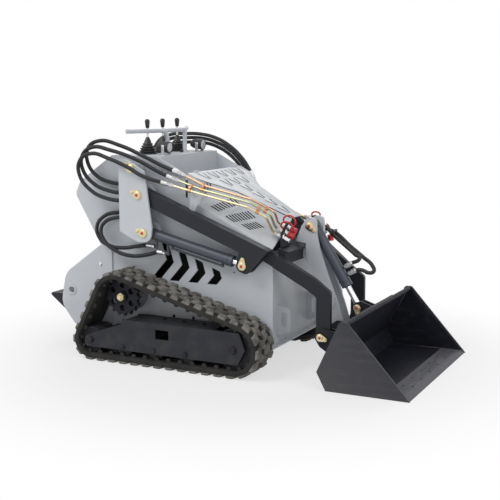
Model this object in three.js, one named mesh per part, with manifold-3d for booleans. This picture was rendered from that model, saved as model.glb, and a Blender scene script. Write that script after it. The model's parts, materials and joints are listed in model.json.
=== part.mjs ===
// A compact tracked skid steer loader with radial lift arms, in millimetres.
// +X is forward, +Y is the machine's left, +Z is up, and the ground is Z = 0.
// The origin is on the ground under the middle of the whole machine.
// Places along the machine are written as [X, Z] pairs, because most pieces are flat plates seen from the
// side.

import * as THREE from 'three';
import { mergeVertices } from 'three/addons/utils/BufferGeometryUtils.js';
import { ConvexGeometry } from 'three/addons/geometries/ConvexGeometry.js';
import Module from 'manifold-3d';

const wasm = await Module();
wasm.setup();

// ---------------------------------------------------------------- driving sizes

const GAP = 0.3; // between pieces that touch
const PIN_PLAY = 0.5; // on the radius, between a pin and its bore
const SIDE_PLAY = 5; // beside a moving piece

const BODY_HALF = 320; // outer face of the body's side plates
const SHEET = 8; // body plate
const BODY_FRONT = 318; // front edge of the side plates
const BODY_REAR = -740; // rear edge of the side plates, low down
const BODY_BOTTOM = 118;
const FRONT_RECESS = 26; // the front plate sits this far behind the side plates' edge
const CONSOLE_TOP = 1106;
const CONSOLE_FRONT = -343;
const CONSOLE_REAR = -655;
const WING_FRONT = [-193, 1016];
const SIDE_TOP_SLOPE = -0.505; // fall of the side plates' upper edge towards the nose
const SIDE_TOP_AT_WING = 893;

const TRACK_INNER = 333; // inner edge of a track
const TRACK_WIDTH = 200;
const LUG_HEIGHT = 20;
const LUG_PITCH = 72;
const BELT_THICKNESS = 20;
const WHEEL_GAP = 0.9; // between a wheel and the belt, whose curve is made of short flats
const SPROCKET = { at: [-523, 352], loop: 148 };
const REAR_IDLER = { at: [-687, 112], loop: 112 };
const FRONT_IDLER = { at: [187, 150], loop: 150 };
const ROLLER_XS = [-481, -288, -95];
const ROLLER_Z = 92;

const ARM_INNER = 340; // inner face of a lift arm
const ARM_OUTER = 400;
const ARM_DEPTH = 76;
const ARM_FALL = THREE.MathUtils.degToRad(21.3); // the arms slope down to the front by this much
const ARM_LENGTH = 799; // from its pivot to its front end
const ARM_PIVOT = [-429, 904];
const ARM_PIN_RADIUS = 20;
const GUSSET_PIN = { along: 694, below: 95 }; // the lift cylinder's rod pin, in the arm's own directions
const CLEVIS_CHEEK = 11;

const TOWER_PLATE = 12;
const TOWER_INNER = ARM_OUTER + SIDE_PLAY + 3;
const LIFT_BASE = [-399, 702];
const TOWER_TIE = [-469, 1046];

const LEG_INNER = 236; // the front legs stand closer together than the arms
const LEG_OUTER = 260;
const BUCKET_PIVOT = [567, 203];
const BUCKET_PIN_RADIUS = 16;

const BRACKET_INNER = 40; // the tilt bracket's two plates
const BRACKET_PLATE = 12;
const BRACKET_DOUBLER = 10; // a wider plate on the outside of each
const TILT_BASE = [412, 742];
const TILT_EYE = [672, 318];

const LIFT_BARREL_RADIUS = 29;
const LIFT_BARREL_LENGTH = 532;
const LIFT_ROD_RADIUS = 18;
const TILT_BARREL_RADIUS = 29;
const TILT_BARREL_LENGTH = 372;
const TILT_ROD_RADIUS = 16;
const EYE_RADIUS = 30;
const CYLINDER_BORE = 0.6; // between rod and barrel
const BORE_BOTTOM = 60; // from the base pin to the bottom of the barrel's bore
const EYE_PLAY = 0.6; // beside a rod's eye in its clevis
const TILT_EYE_HALF = 17;

const BUCKET_HALF = 513;
const BUCKET_SIDE_PLATE = 10;
const BUCKET_SHEET = 8;
const BUCKET_TIP = 1117;
const BUCKET_HEEL = [691, 0];
const BUCKET_BACK_LOW = [643, 91];
const BUCKET_BACK_TOP = [775, 345];

const PLATFORM_HINGE = [-790, 282];
const HOOD_HINGE = [-183, 1021];

// ---------------------------------------------------------------- materials

function finish(colour, roughness, metalness) {
  return new THREE.MeshStandardMaterial({ color: colour, roughness, metalness });
}

const bodyGrey = finish(0xb9bec5, 0.45, 0.1);
const charcoal = finish(0x2b2f38, 0.45, 0.2);
const blackPaint = finish(0x15161a, 0.4, 0.2);
const trackRubber = finish(0x2a2724, 0.9, 0.0);
const hoseRubber = finish(0x1a1b1d, 0.7, 0.0);
const blackPlastic = finish(0x141416, 0.45, 0.0);
const chrome = finish(0xd8dadd, 0.12, 1.0);
const yellowZinc = finish(0xc9a94f, 0.35, 0.9);
const engineGrey = finish(0x55585c, 0.6, 0.4);

// ---------------------------------------------------------------- shapes

function solidOf(geometry) {
  const bare = geometry.clone();
  bare.deleteAttribute('normal');
  bare.deleteAttribute('uv');
  const merged = mergeVertices(bare, 1e-3);
  return new wasm.Manifold(new wasm.Mesh({
    numProp: 3,
    vertProperties: new Float32Array(merged.attributes.position.array),
    triVerts: new Uint32Array(merged.index.array),
  }));
}

function joined(...solids) {
  return solids.reduce((sum, solid) => sum.add(solid));
}

function cutFrom(solid, ...tools) {
  return tools.reduce((rest, tool) => rest.subtract(tool), solid);
}

const loader = new THREE.Group();

function piece(name, solid, material) {
  const mesh = solid.getMesh();
  const geometry = new THREE.BufferGeometry();
  geometry.setAttribute('position', new THREE.BufferAttribute(mesh.vertProperties, 3));
  geometry.setIndex(new THREE.BufferAttribute(mesh.triVerts, 1));
  const made = new THREE.Mesh(geometry, material);
  made.name = name;
  loader.add(made);
}

// A closed outline whose corners are [x, z] or [x, z, radius].
function outline(corners) {
  const shape = new THREE.Shape();
  const count = corners.length;
  corners.forEach(([x, z, radius = 0], i) => {
    const here = new THREE.Vector2(x, z);
    if (radius === 0) {
      if (i === 0) shape.moveTo(x, z);
      else shape.lineTo(x, z);
      return;
    }
    const before = new THREE.Vector2(...corners[(i + count - 1) % count].slice(0, 2)).sub(here).normalize();
    const after = new THREE.Vector2(...corners[(i + 1) % count].slice(0, 2)).sub(here).normalize();
    const half = Math.acos(THREE.MathUtils.clamp(before.dot(after), -1, 1)) / 2;
    const start = here.clone().addScaledVector(before, radius / Math.tan(half));
    const end = here.clone().addScaledVector(after, radius / Math.tan(half));
    const toCentre = before.clone().add(after).normalize();
    const centre = here.clone().addScaledVector(toCentre, radius / Math.sin(half));
    const from = Math.atan2(start.y - centre.y, start.x - centre.x);
    const to = Math.atan2(end.y - centre.y, end.x - centre.x);
    if (i === 0) shape.moveTo(start.x, start.y);
    else shape.lineTo(start.x, start.y);
    shape.absarc(centre.x, centre.y, radius, from, to, before.cross(after) > 0);
  });
  shape.closePath();
  return shape;
}

function ring(at, radius, segments = 24) {
  const points = [];
  for (let i = 0; i < segments; i += 1) {
    const turn = (2 * Math.PI * i) / segments;
    points.push(new THREE.Vector2(at[0] + radius * Math.cos(turn), at[1] + radius * Math.sin(turn)));
  }
  return new THREE.Shape(points);
}

// A plate that stands along the machine, between two distances from the middle plane.
function sidePlate(shape, yFrom, yTo) {
  const low = Math.min(yFrom, yTo);
  const high = Math.max(yFrom, yTo);
  const settings = { depth: high - low, bevelEnabled: false, curveSegments: 4 };
  const geometry = new THREE.ExtrudeGeometry(shape, settings);
  geometry.rotateX(Math.PI / 2);
  geometry.translate(0, high, 0);
  return solidOf(geometry);
}

function disc(at, radius, yFrom, yTo, segments = 24) {
  return sidePlate(ring(at, radius, segments), yFrom, yTo);
}

function block(x0, x1, y0, y1, z0, z1) {
  const size = [Math.abs(x1 - x0), Math.abs(y1 - y0), Math.abs(z1 - z0)];
  const geometry = new THREE.BoxGeometry(...size);
  geometry.translate((x0 + x1) / 2, (y0 + y1) / 2, (z0 + z1) / 2);
  return solidOf(geometry);
}

function rodBetween(from, to, radius, segments = 20) {
  const a = new THREE.Vector3(...from);
  const b = new THREE.Vector3(...to);
  const along = b.clone().sub(a);
  const geometry = new THREE.CylinderGeometry(radius, radius, along.length(), segments);
  geometry.applyQuaternion(new THREE.Quaternion().setFromUnitVectors(
    new THREE.Vector3(0, 1, 0),
    along.clone().normalize(),
  ));
  const middle = a.add(b).multiplyScalar(0.5);
  geometry.translate(middle.x, middle.y, middle.z);
  return solidOf(geometry);
}

function tube(points, radius, steps, sides = 10) {
  const path = new THREE.CatmullRomCurve3(points.map((p) => new THREE.Vector3(...p)), false, 'centripetal');
  const section = ring([0, 0], radius, sides);
  return solidOf(new THREE.ExtrudeGeometry(section, { steps, extrudePath: path, bevelEnabled: false }));
}

function hull(points) {
  return solidOf(new ConvexGeometry(points.map((p) => new THREE.Vector3(...p))));
}

// A strip of sheet that follows a line of [x, z] points, its thickness on the left of the direction of
// travel.
function strip(points, thickness) {
  const line = points.map((p) => new THREE.Vector2(...p));
  const normals = line.slice(1).map((p, i) => {
    const d = p.clone().sub(line[i]).normalize();
    return new THREE.Vector2(-d.y, d.x);
  });
  const offset = line.map((p, i) => {
    const a = normals[Math.max(i - 1, 0)];
    const b = normals[Math.min(i, normals.length - 1)];
    const mean = a.clone().add(b).normalize();
    return p.clone().addScaledVector(mean, thickness / mean.dot(b));
  });
  return new THREE.Shape([...line, ...offset.reverse()]);
}

const SIDES = [['left', 1], ['right', -1]];

// ---------------------------------------------------------------- body

function sideTop(x) {
  return SIDE_TOP_AT_WING + SIDE_TOP_SLOPE * (x - WING_FRONT[0]);
}

const BACK_LINE = [[BODY_REAR, 600], [-905, 885], [-870, 958], [CONSOLE_REAR, CONSOLE_TOP]];

// The side vents are a row of arrows that point forward, cut off between a level floor and a roof that
// falls to the front. Each arrow's arms lean back from its tip.
const VENT = {
  tip: [-271, 537], // of the rearmost
  count: 4,
  pitch: 97.3,
  fall: 0.2226, // of the row of tips
  width: 47,
  notch: 12, // the inner corner stands above the tip
  upperLean: 0.3,
  lowerLean: 0.88,
  floor: 436,
  roof: [11, 508],
  roofFall: 0.4,
};

function vent(number) {
  const x = VENT.tip[0] + number * VENT.pitch;
  const z = VENT.tip[1] - number * VENT.pitch * VENT.fall;
  const arms = [[x, z], [x - VENT.width, z + VENT.notch]].map(([cornerX, cornerZ]) => {
    const roofAbove = VENT.roof[1] - VENT.roofFall * (cornerX - VENT.roof[0]) - cornerZ;
    const rise = roofAbove / (1 - VENT.roofFall * VENT.upperLean);
    return {
      top: [cornerX - VENT.upperLean * rise, cornerZ + rise],
      corner: [cornerX, cornerZ],
      foot: [cornerX - VENT.lowerLean * (cornerZ - VENT.floor), VENT.floor],
    };
  });
  const [front, back] = arms;
  return outline([front.foot, front.corner, front.top, back.top, back.corner, back.foot]);
}

function bodySide(side) {
  const inner = side * (BODY_HALF - SHEET);
  const outer = side * BODY_HALF;
  const plate = sidePlate(outline([
    [BODY_FRONT, BODY_BOTTOM], [BODY_FRONT, sideTop(BODY_FRONT)],
    [WING_FRONT[0], SIDE_TOP_AT_WING], WING_FRONT,
    [CONSOLE_FRONT - 26, CONSOLE_TOP], [CONSOLE_REAR, CONSOLE_TOP],
    [-870, 958, 40], [-905, 885, 40], [BODY_REAR, 600], [BODY_REAR, BODY_BOTTOM],
  ]), inner, outer);
  const bosses = [ARM_PIVOT, LIFT_BASE].map((at) => disc(at, 48, inner, side * (ARM_INNER - 2)));
  const bores = [
    disc(ARM_PIVOT, ARM_PIN_RADIUS + PIN_PLAY, 0, side * 400),
    disc(LIFT_BASE, 16 + PIN_PLAY, 0, side * 400),
  ];
  const vents = [];
  for (let i = 0; i < VENT.count; i += 1) vents.push(sidePlate(vent(i), 0, side * TOWER_INNER));
  return cutFrom(joined(plate, ...bosses), ...bores, ...vents);
}

for (const [hand, side] of SIDES) piece(`body_side_${hand}`, bodySide(side), bodyGrey);

const INSIDE = BODY_HALF - SHEET - GAP;

function bodyFront() {
  const face = BODY_FRONT - FRONT_RECESS;
  const top = sideTop(BODY_FRONT);
  const plate = block(face - SHEET, face, -INSIDE, INSIDE, BODY_BOTTOM + SHEET + GAP, top - 12);
  const loops = [-1, 1].map((side) => {
    const loop = outline([[face - 2, 170], [face + 80, 200, 30], [face + 80, 320, 30], [face - 2, 335]]);
    const eye = outline([
      [face + 22, 216, 14], [face + 56, 216, 14], [face + 56, 300, 14], [face + 22, 300, 14],
    ]);
    return cutFrom(sidePlate(loop, side * 204, side * 216), sidePlate(eye, side * 190, side * 230));
  });
  return joined(plate, ...loops);
}

piece('body_front_plate', bodyFront(), bodyGrey);
piece(
  'body_floor',
  block(BODY_REAR, BODY_FRONT, -INSIDE, INSIDE, BODY_BOTTOM, BODY_BOTTOM + SHEET),
  bodyGrey,
);

function rearPanel() {
  const sheet = strip([[BODY_REAR, BODY_BOTTOM + SHEET + GAP], ...BACK_LINE.slice(0, 2)], -SHEET);
  return sidePlate(sheet, -INSIDE, INSIDE);
}

piece('body_rear_panel', rearPanel(), bodyGrey);

function consoleBox() {
  const sheet = strip([
    [-905 + 10, 885 + 26], [-870, 958], [CONSOLE_REAR, CONSOLE_TOP], [CONSOLE_FRONT, CONSOLE_TOP],
    [CONSOLE_FRONT, 985], [HOOD_HINGE[0] - 20, 985],
  ], -SHEET);
  return sidePlate(sheet, -INSIDE, INSIDE);
}

piece('control_console', consoleBox(), bodyGrey);

// ---------------------------------------------------------------- hood

const HOOD_SHEET = 5;
const HOOD_NOSE = [308, 781];

function hoodTop(x) {
  const fall = (HOOD_NOSE[1] - HOOD_HINGE[1]) / (HOOD_NOSE[0] - HOOD_HINGE[0]);
  return HOOD_HINGE[1] + fall * (x - HOOD_HINGE[0]);
}

const HOOD_HALF_WIDTHS = [[-183, 311], [-120, 296], [20, 150], [308, 60]];

function hood() {
  const edge = [
    ...HOOD_HALF_WIDTHS.map(([x, half]) => [x, half]),
    ...HOOD_HALF_WIDTHS.map(([x, half]) => [x, -half]).reverse(),
  ];
  const geometry = new THREE.ExtrudeGeometry(
    new THREE.Shape(edge.map((p) => new THREE.Vector2(...p))),
    { depth: HOOD_SHEET, bevelEnabled: false },
  );
  const points = geometry.attributes.position;
  for (let i = 0; i < points.count; i += 1) {
    points.setZ(i, points.getZ(i) - HOOD_SHEET + hoodTop(points.getX(i)));
  }
  return solidOf(geometry);
}

piece('hood', hood(), bodyGrey);

function hoodSide(side) {
  const drop = HOOD_SHEET + GAP;
  const top = HOOD_HALF_WIDTHS.map(([x, half]) => [x, half - 1, hoodTop(x) - drop]);
  const low = [-183, -120, 20, 308].map((x) => [x, INSIDE, sideTop(x) + 2]);
  const facets = [];
  for (let i = 0; i < 3; i += 1) {
    for (const corner of [[top[i], top[i + 1], low[i]], [top[i + 1], low[i], low[i + 1]]]) {
      const points = [];
      for (const [x, y, z] of corner) {
        points.push([x, side * y, z]);
        points.push([x, side * (y - 1), z - 6]);
      }
      facets.push(hull(points));
    }
  }
  return joined(...facets);
}

for (const [hand, side] of SIDES) piece(`hood_side_${hand}`, hoodSide(side), bodyGrey);

// ---------------------------------------------------------------- rear ears and platform

function ear(side) {
  const plate = outline([
    [-665, 130], [-665, 596], [-742, 604, 12], [-985, 430, 110], [-1022, 250, 100], [-925, 130, 60],
  ]);
  const eye = disc([-944, 334], 19, 0, side * 400);
  return cutFrom(sidePlate(plate, side * (BODY_HALF + GAP), side * (BODY_HALF + GAP + 8)), eye);
}

for (const [hand, side] of SIDES) piece(`rear_ear_${hand}`, ear(side), bodyGrey);

function platform() {
  const half = 300;
  const deck = outline([[-784, 292], [-784, 284], [-1108, 284], [-1117, 292], [-1108, 300], [-784, 300]]);
  const wedge = outline([[-800, 283], [-1112, 283], [-935, 150], [-800, 150]]);
  const cheeks = [-1, 1].map((side) => sidePlate(wedge, side * half, side * (half - 6)));
  const back = sidePlate(strip([[-935, 150], [-1112, 283]], -6), -half, half);
  const deckPlate = sidePlate(deck, -half, half);
  const pins = [-1, 1].map((side) => disc(PLATFORM_HINGE, 9, side * (half - 20), side * BODY_HALF));
  return joined(deckPlate, ...cheeks, back, ...pins);
}

piece('operator_platform', platform(), charcoal);

// ---------------------------------------------------------------- tracks

function loopPath(offset) {
  const wheels = [REAR_IDLER, FRONT_IDLER, SPROCKET].map(({ at, loop }) => ({ at, radius: loop + offset }));
  const spans = [];
  wheels.forEach((wheel, i) => {
    const next = wheels[(i + 1) % wheels.length];
    const dx = next.at[0] - wheel.at[0];
    const dz = next.at[1] - wheel.at[1];
    const lean = Math.acos((wheel.radius - next.radius) / Math.hypot(dx, dz));
    spans.push(Math.atan2(dz, dx) - lean);
  });
  const points = [];
  wheels.forEach((wheel, i) => {
    const enter = spans[(i + wheels.length - 1) % wheels.length];
    let leave = spans[i];
    while (leave < enter) leave += 2 * Math.PI;
    const steps = 14;
    for (let k = 0; k <= steps; k += 1) {
      const turn = enter + ((leave - enter) * k) / steps;
      points.push(new THREE.Vector2(
        wheel.at[0] + wheel.radius * Math.cos(turn),
        wheel.at[1] + wheel.radius * Math.sin(turn),
      ));
    }
  });
  return points;
}

// Walks a closed line and gives the point and outward normal at a distance along it.
function walker(points) {
  const lengths = points.map((p, i) => p.distanceTo(points[(i + 1) % points.length]));
  const total = lengths.reduce((a, b) => a + b, 0);
  return {
    total,
    at(distance) {
      let left = ((distance % total) + total) % total;
      let i = 0;
      while (left > lengths[i]) {
        left -= lengths[i];
        i += 1;
      }
      const a = points[i];
      const b = points[(i + 1) % points.length];
      const along = b.clone().sub(a).normalize();
      return { point: a.clone().addScaledVector(along, left), normal: new THREE.Vector2(along.y, -along.x) };
    },
  };
}

function trackOutline() {
  const belt = walker(loopPath(-LUG_HEIGHT));
  const lugs = Math.round(belt.total / LUG_PITCH);
  const pitch = belt.total / lugs;
  const profile = [[-0.5, 0], [-0.28, 0], [-0.2, 1], [0.2, 1], [0.28, 0]];
  const points = [];
  for (let i = 0; i < lugs; i += 1) {
    for (const [share, height] of profile) {
      const { point, normal } = belt.at((i + share) * pitch);
      points.push(point.addScaledVector(normal, height * LUG_HEIGHT));
    }
  }
  return new THREE.Shape(points);
}

const BELT_INNER = -LUG_HEIGHT - BELT_THICKNESS;

function track(side) {
  const shape = trackOutline();
  shape.holes.push(new THREE.Path(loopPath(BELT_INNER)));
  return sidePlate(shape, side * TRACK_INNER, side * (TRACK_INNER + TRACK_WIDTH));
}

for (const [hand, side] of SIDES) piece(`track_${hand}`, track(side), trackRubber);

const TRACK_MIDDLE = TRACK_INNER + TRACK_WIDTH / 2;
const FRAME_PLATE = 8;
const FRAME_INNER = TRACK_INNER + 18;
const FRAME_OUTER = TRACK_INNER + TRACK_WIDTH - 16;
const BELT_FLOOR = LUG_HEIGHT + BELT_THICKNESS;

function trackFrame(side) {
  const edge = [
    [-479, 243], [-489, 216], [-650, 160, 20], [-727, 128, 20], [-727, 74, 20],
    [213, 72], [255, 153], [222, 240],
  ];
  const plates = [[FRAME_INNER, FRAME_INNER + FRAME_PLATE], [FRAME_OUTER - FRAME_PLATE, FRAME_OUTER]]
    .map(([from, to]) => sidePlate(outline(edge), side * from, side * to));
  const window = block(-275, -193, side * (FRAME_OUTER - 30), side * (FRAME_OUTER + 10), 157, 208);
  const top = block(-470, 70, side * FRAME_INNER, side * FRAME_OUTER, 233, 240);
  const mounts = [-420, 20].map((x) => block(
    x,
    x + 130,
    side * (BODY_HALF + GAP),
    side * (FRAME_INNER + 2),
    160,
    225,
  ));
  const rollers = ROLLER_XS.flatMap((x) => [
    disc([x, ROLLER_Z], ROLLER_Z - BELT_FLOOR - GAP, side * (FRAME_INNER + 22), side * (FRAME_OUTER - 22)),
    disc([x, ROLLER_Z], 13, side * FRAME_INNER, side * FRAME_OUTER, 16),
  ]);
  const axles = [
    disc(REAR_IDLER.at, 13, side * FRAME_INNER, side * FRAME_OUTER, 16),
    disc(FRONT_IDLER.at, 16, side * FRAME_INNER, side * FRAME_OUTER, 16),
  ];
  return joined(cutFrom(joined(...plates), window), top, ...mounts, ...rollers, ...axles);
}

for (const [hand, side] of SIDES) piece(`track_frame_${hand}`, trackFrame(side), charcoal);

function idler(wheel, side, bore) {
  const radius = wheel.loop + BELT_INNER - WHEEL_GAP;
  const from = side * (FRAME_INNER + FRAME_PLATE + 12);
  const to = side * (FRAME_OUTER - FRAME_PLATE - 12);
  return cutFrom(disc(wheel.at, radius, from, to, 40), disc(wheel.at, bore + PIN_PLAY, 0, side * 600, 16));
}

for (const [hand, side] of SIDES) {
  piece(`front_idler_${hand}`, idler(FRONT_IDLER, side, 16), blackPaint);
  piece(`rear_idler_${hand}`, idler(REAR_IDLER, side, 13), blackPaint);
}

const SPROCKET_HOLES = { count: 6, circle: 64, radius: 18 };

function sprocketWheel(side) {
  const rim = SPROCKET.loop + BELT_INNER - 1;
  const teeth = 17;
  const tooth = [[-0.5, rim - 14], [-0.25, rim - 12], [-0.12, rim], [0.12, rim], [0.25, rim - 12]];
  const points = [];
  for (let i = 0; i < teeth; i += 1) {
    for (const [share, radius] of tooth) {
      const turn = (2 * Math.PI * (i + share)) / teeth;
      points.push(new THREE.Vector2(
        SPROCKET.at[0] + radius * Math.cos(turn),
        SPROCKET.at[1] + radius * Math.sin(turn),
      ));
    }
  }
  const wheel = sidePlate(new THREE.Shape(points), side * (TRACK_MIDDLE - 12), side * (TRACK_MIDDLE + 12));
  const holes = [];
  for (let i = 0; i < SPROCKET_HOLES.count; i += 1) {
    const turn = (2 * Math.PI * (i + 0.5)) / SPROCKET_HOLES.count;
    const at = [
      SPROCKET.at[0] + SPROCKET_HOLES.circle * Math.cos(turn),
      SPROCKET.at[1] + SPROCKET_HOLES.circle * Math.sin(turn),
    ];
    holes.push(disc(at, SPROCKET_HOLES.radius, 0, side * 600, 14));
  }
  const hub = disc(SPROCKET.at, 30, side * (TRACK_MIDDLE - 30), side * (TRACK_MIDDLE + 24), 24);
  return joined(cutFrom(wheel, ...holes), hub);
}

for (const [hand, side] of SIDES) {
  piece(`drive_sprocket_${hand}`, sprocketWheel(side), blackPaint);
  const [inner, outer] = [BODY_HALF + GAP + 8 + GAP, TRACK_MIDDLE - 30 - GAP];
  const housing = disc(SPROCKET.at, 88, side * inner, side * outer, 32);
  piece(`final_drive_${hand}`, housing, engineGrey);
}

// ---------------------------------------------------------------- towers

function tower(side) {
  const plate = sidePlate(outline([
    [-547, 1092], [-547, 704], [-432, 650], [-352, 655, 48], [-344, 735], [-385, 1032], [-500, 1092],
  ]), side * TOWER_INNER, side * (TOWER_INNER + TOWER_PLATE));
  const web = sidePlate(
    strip([[-547, 704], [-432, 650]], 8),
    side * (BODY_HALF + GAP),
    side * (TOWER_INNER + 2),
  );
  const tie = disc(TOWER_TIE, 24, side * (BODY_HALF + GAP), side * (TOWER_INNER + 2));
  const pins = [
    disc(ARM_PIVOT, ARM_PIN_RADIUS, side * (BODY_HALF - SHEET), side * (TOWER_INNER + 2)),
    disc(LIFT_BASE, 16, side * (BODY_HALF - SHEET), side * (TOWER_INNER + 2)),
  ];
  return joined(plate, web, tie, ...pins);
}

for (const [hand, side] of SIDES) piece(`arm_tower_${hand}`, tower(side), bodyGrey);

// ---------------------------------------------------------------- lift arms

// A place on the arm, from its pivot: along it and above its middle line.
function onArm(along, above) {
  return [
    ARM_PIVOT[0] + along * Math.cos(ARM_FALL) + above * Math.sin(ARM_FALL),
    ARM_PIVOT[1] - along * Math.sin(ARM_FALL) + above * Math.cos(ARM_FALL),
  ];
}

const LIFT_EYE = onArm(GUSSET_PIN.along, -GUSSET_PIN.below);

function liftArm(side) {
  const half = ARM_DEPTH / 2;
  const beam = sidePlate(outline([
    [...onArm(-half, -half), half - 1], [...onArm(ARM_LENGTH - 40, -half)],
    [...onArm(ARM_LENGTH, half)], [...onArm(-half, half), half - 1],
  ]), side * ARM_INNER, side * ARM_OUTER);
  const gusset = outline([
    [...onArm(GUSSET_PIN.along - 44, -half + 2)],
    [...onArm(GUSSET_PIN.along - 30, -GUSSET_PIN.below - 34), 32],
    [...onArm(GUSSET_PIN.along + 40, -GUSSET_PIN.below - 34), 30], [...onArm(ARM_LENGTH - 2, half - 4)],
    [...onArm(GUSSET_PIN.along, half - 6)],
  ]);
  const cheeks = [[ARM_INNER, ARM_INNER + CLEVIS_CHEEK], [ARM_OUTER - CLEVIS_CHEEK, ARM_OUTER]]
    .map(([from, to]) => sidePlate(gusset, side * from, side * to));
  const bore = disc(ARM_PIVOT, ARM_PIN_RADIUS + PIN_PLAY, 0, side * 500);
  return cutFrom(joined(beam, ...cheeks), bore);
}

for (const [hand, side] of SIDES) piece(`lift_arm_${hand}`, liftArm(side), charcoal);

const CROSS_REAR = 330;
const CROSS_FRONT = 372;
const CROSS_TOP = 648;
const TRAY_EDGE = [388, 632]; // the front of the tray on the cross member
const SHOULDER_OUTER = ARM_INNER - GAP; // where a front leg meets its arm
const SHOULDER_INNER = 280;
const LEG_REAR = [[346, 615], [326, 558]]; // top and bottom of a leg's sloping part, at its shoulder
const LEG_FOLD = [[527, 501], [478, 443]]; // and at the fold into the upright part

// The sloping part of a front leg, which closes in from the arm to the upright part.
function legSlope(side, grow) {
  const points = [];
  for (const [x, z] of LEG_REAR) {
    points.push([x, side * (SHOULDER_INNER - grow), z], [x, side * SHOULDER_OUTER, z]);
  }
  for (const [x, z] of LEG_FOLD) points.push([x, side * (LEG_INNER - grow), z], [x, side * LEG_OUTER, z]);
  return hull(points);
}

function frontLeg(side) {
  const upright = outline([
    LEG_FOLD[0], [612, 438, 24], [612, 240], [612, 165, 38], [529, 165, 38], [535, 240],
    [535, 405, 20], LEG_FOLD[1],
  ]);
  const cheek = outline([onArm(700, 30), onArm(700, -34), [326, 560], [346, 600], [330, 640]]);
  return cutFrom(
    joined(
      legSlope(side, 0),
      sidePlate(upright, side * LEG_INNER, side * LEG_OUTER),
      sidePlate(cheek, side * (BODY_HALF + SIDE_PLAY + 2), side * SHOULDER_OUTER),
    ),
    disc(BUCKET_PIVOT, BUCKET_PIN_RADIUS + PIN_PLAY, 0, side * 500),
  );
}

for (const [hand, side] of SIDES) piece(`front_leg_${hand}`, frontLeg(side), charcoal);

function crossMember() {
  const section = outline([
    [CROSS_REAR, 566], [CROSS_REAR, CROSS_TOP], TRAY_EDGE, [TRAY_EDGE[0], TRAY_EDGE[1] - 8],
    [CROSS_FRONT, TRAY_EDGE[1] - 8], [CROSS_FRONT, 566],
  ]);
  const beam = sidePlate(section, -SHOULDER_INNER, SHOULDER_INNER);
  return cutFrom(beam, legSlope(1, GAP), legSlope(-1, GAP));
}

piece('arm_cross_member', crossMember(), charcoal);

function tiltBracket() {
  const lobe = [[366, 742, 30], [400, 790, 30], [447, 780, 26]];
  const plate = outline([
    [389, 655], ...lobe, [449, 700], [467, 617], [515, 479], [573, 332],
    [612, 205, 30], [560, 160, 34], [530, 200, 20],
    [500, 330], [427, 481], [405, 542], [CROSS_FRONT + GAP, 575], [CROSS_FRONT + GAP, 620], [389, 622],
  ]);
  const doubler = outline([
    [CROSS_REAR + 2, CROSS_TOP + 10], ...lobe, [449, 700], [467, 617], [515, 479], [553, 384],
    [560, 318, 22], [500, 322, 10],
    [427, 481], [405, 542], [TRAY_EDGE[0] + 2, 600], [TRAY_EDGE[0] + 2, CROSS_TOP + 2],
  ]);
  const outer = BRACKET_INNER + BRACKET_PLATE;
  const plates = [-1, 1].map((side) => cutFrom(
    joined(
      sidePlate(plate, side * BRACKET_INNER, side * outer),
      sidePlate(doubler, side * (outer - 1), side * (outer + BRACKET_DOUBLER)),
    ),
    disc(BUCKET_PIVOT, BUCKET_PIN_RADIUS + PIN_PLAY, 0, side * LEG_OUTER),
  ));
  const base = block(CROSS_FRONT + GAP, 392, -outer, outer, 575, 620);
  const pin = disc(TILT_BASE, 15, -(BRACKET_INNER + 2), BRACKET_INNER + 2);
  return joined(...plates, base, pin);
}

piece('tilt_bracket', tiltBracket(), bodyGrey);

// ---------------------------------------------------------------- steel lines and couplers

const COUPLER_PLATE = { x: 334, thickness: 8, from: 152, to: 262, top: 772 };
const COUPLERS = [[238, 700], [207, 722], [176, 744]]; // distance from the middle plane, and height
const COUPLER = { back: 28, front: 42, fall: 0.4, radius: 13 };

// A place on a coupler's own line, this far ahead of its plate.
function onCoupler([y, z], side, ahead) {
  return [COUPLER_PLATE.x + ahead, side * y, z - ahead * COUPLER.fall];
}

function couplerPlate(side) {
  const { x, thickness, from, to, top } = COUPLER_PLATE;
  const plate = block(x, x + thickness, side * from, side * to, CROSS_TOP - 0.8, top);
  const bodies = COUPLERS.map((at) => rodBetween(
    onCoupler(at, side, -COUPLER.back),
    onCoupler(at, side, COUPLER.front),
    COUPLER.radius,
    12,
  ));
  return joined(plate, ...bodies);
}

for (const [hand, side] of SIDES) piece(`coupler_plate_${hand}`, couplerPlate(side), chrome);

const LINE_RADIUS = 6.5;

function armTop(along) {
  return onArm(along, ARM_DEPTH / 2 + GAP);
}

// Each hand's three tubes, outermost first, as [x, distance from the middle plane, z] up to the turn to the
// couplers. The right hand's stand high over the arm on one foot. The left hand's lie low along it on two.
// Each clamp is its place along the machine and the outer one of the two tubes it holds.
const LINES = {
  right: {
    tubes: [
      [[-253, 378, 962], [-72, 378, 922], [205, 378, 865], [300, 360, 818]],
      [[-232, 358, 990], [-72, 358, 942], [212, 358, 885], [313, 340, 831]],
      [[-206, 338, 1020], [-72, 338, 962], [206, 338, 901], [325, 312, 840]],
    ],
    clamps: [[-134, 0], [-72, 1], [255, 0], [288, 1]],
    feet: [[armTop(285), armTop(315), [-62, 912], [-62, 930], [-144, 950], [-144, 932]]],
  },
  left: {
    tubes: [
      [[-148, 378, 890], [-95, 378, 836], [190, 378, 724], [262, 358, 704], [290, 318, 712]],
      [[-128, 358, 918], [-90, 358, 850], [190, 358, 734], [262, 338, 716], [292, 298, 730]],
      [[-110, 338, 944], [-84, 338, 864], [190, 338, 744], [262, 318, 730], [294, 276, 746]],
    ],
    clamps: [[-40, 0], [10, 1], [182, 0], [226, 1]],
    feet: [
      [armTop(395), armTop(430), [-31, 806], [-49, 806]],
      [armTop(630), armTop(660), [190, 718], [174, 718]],
    ],
  },
};

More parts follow.
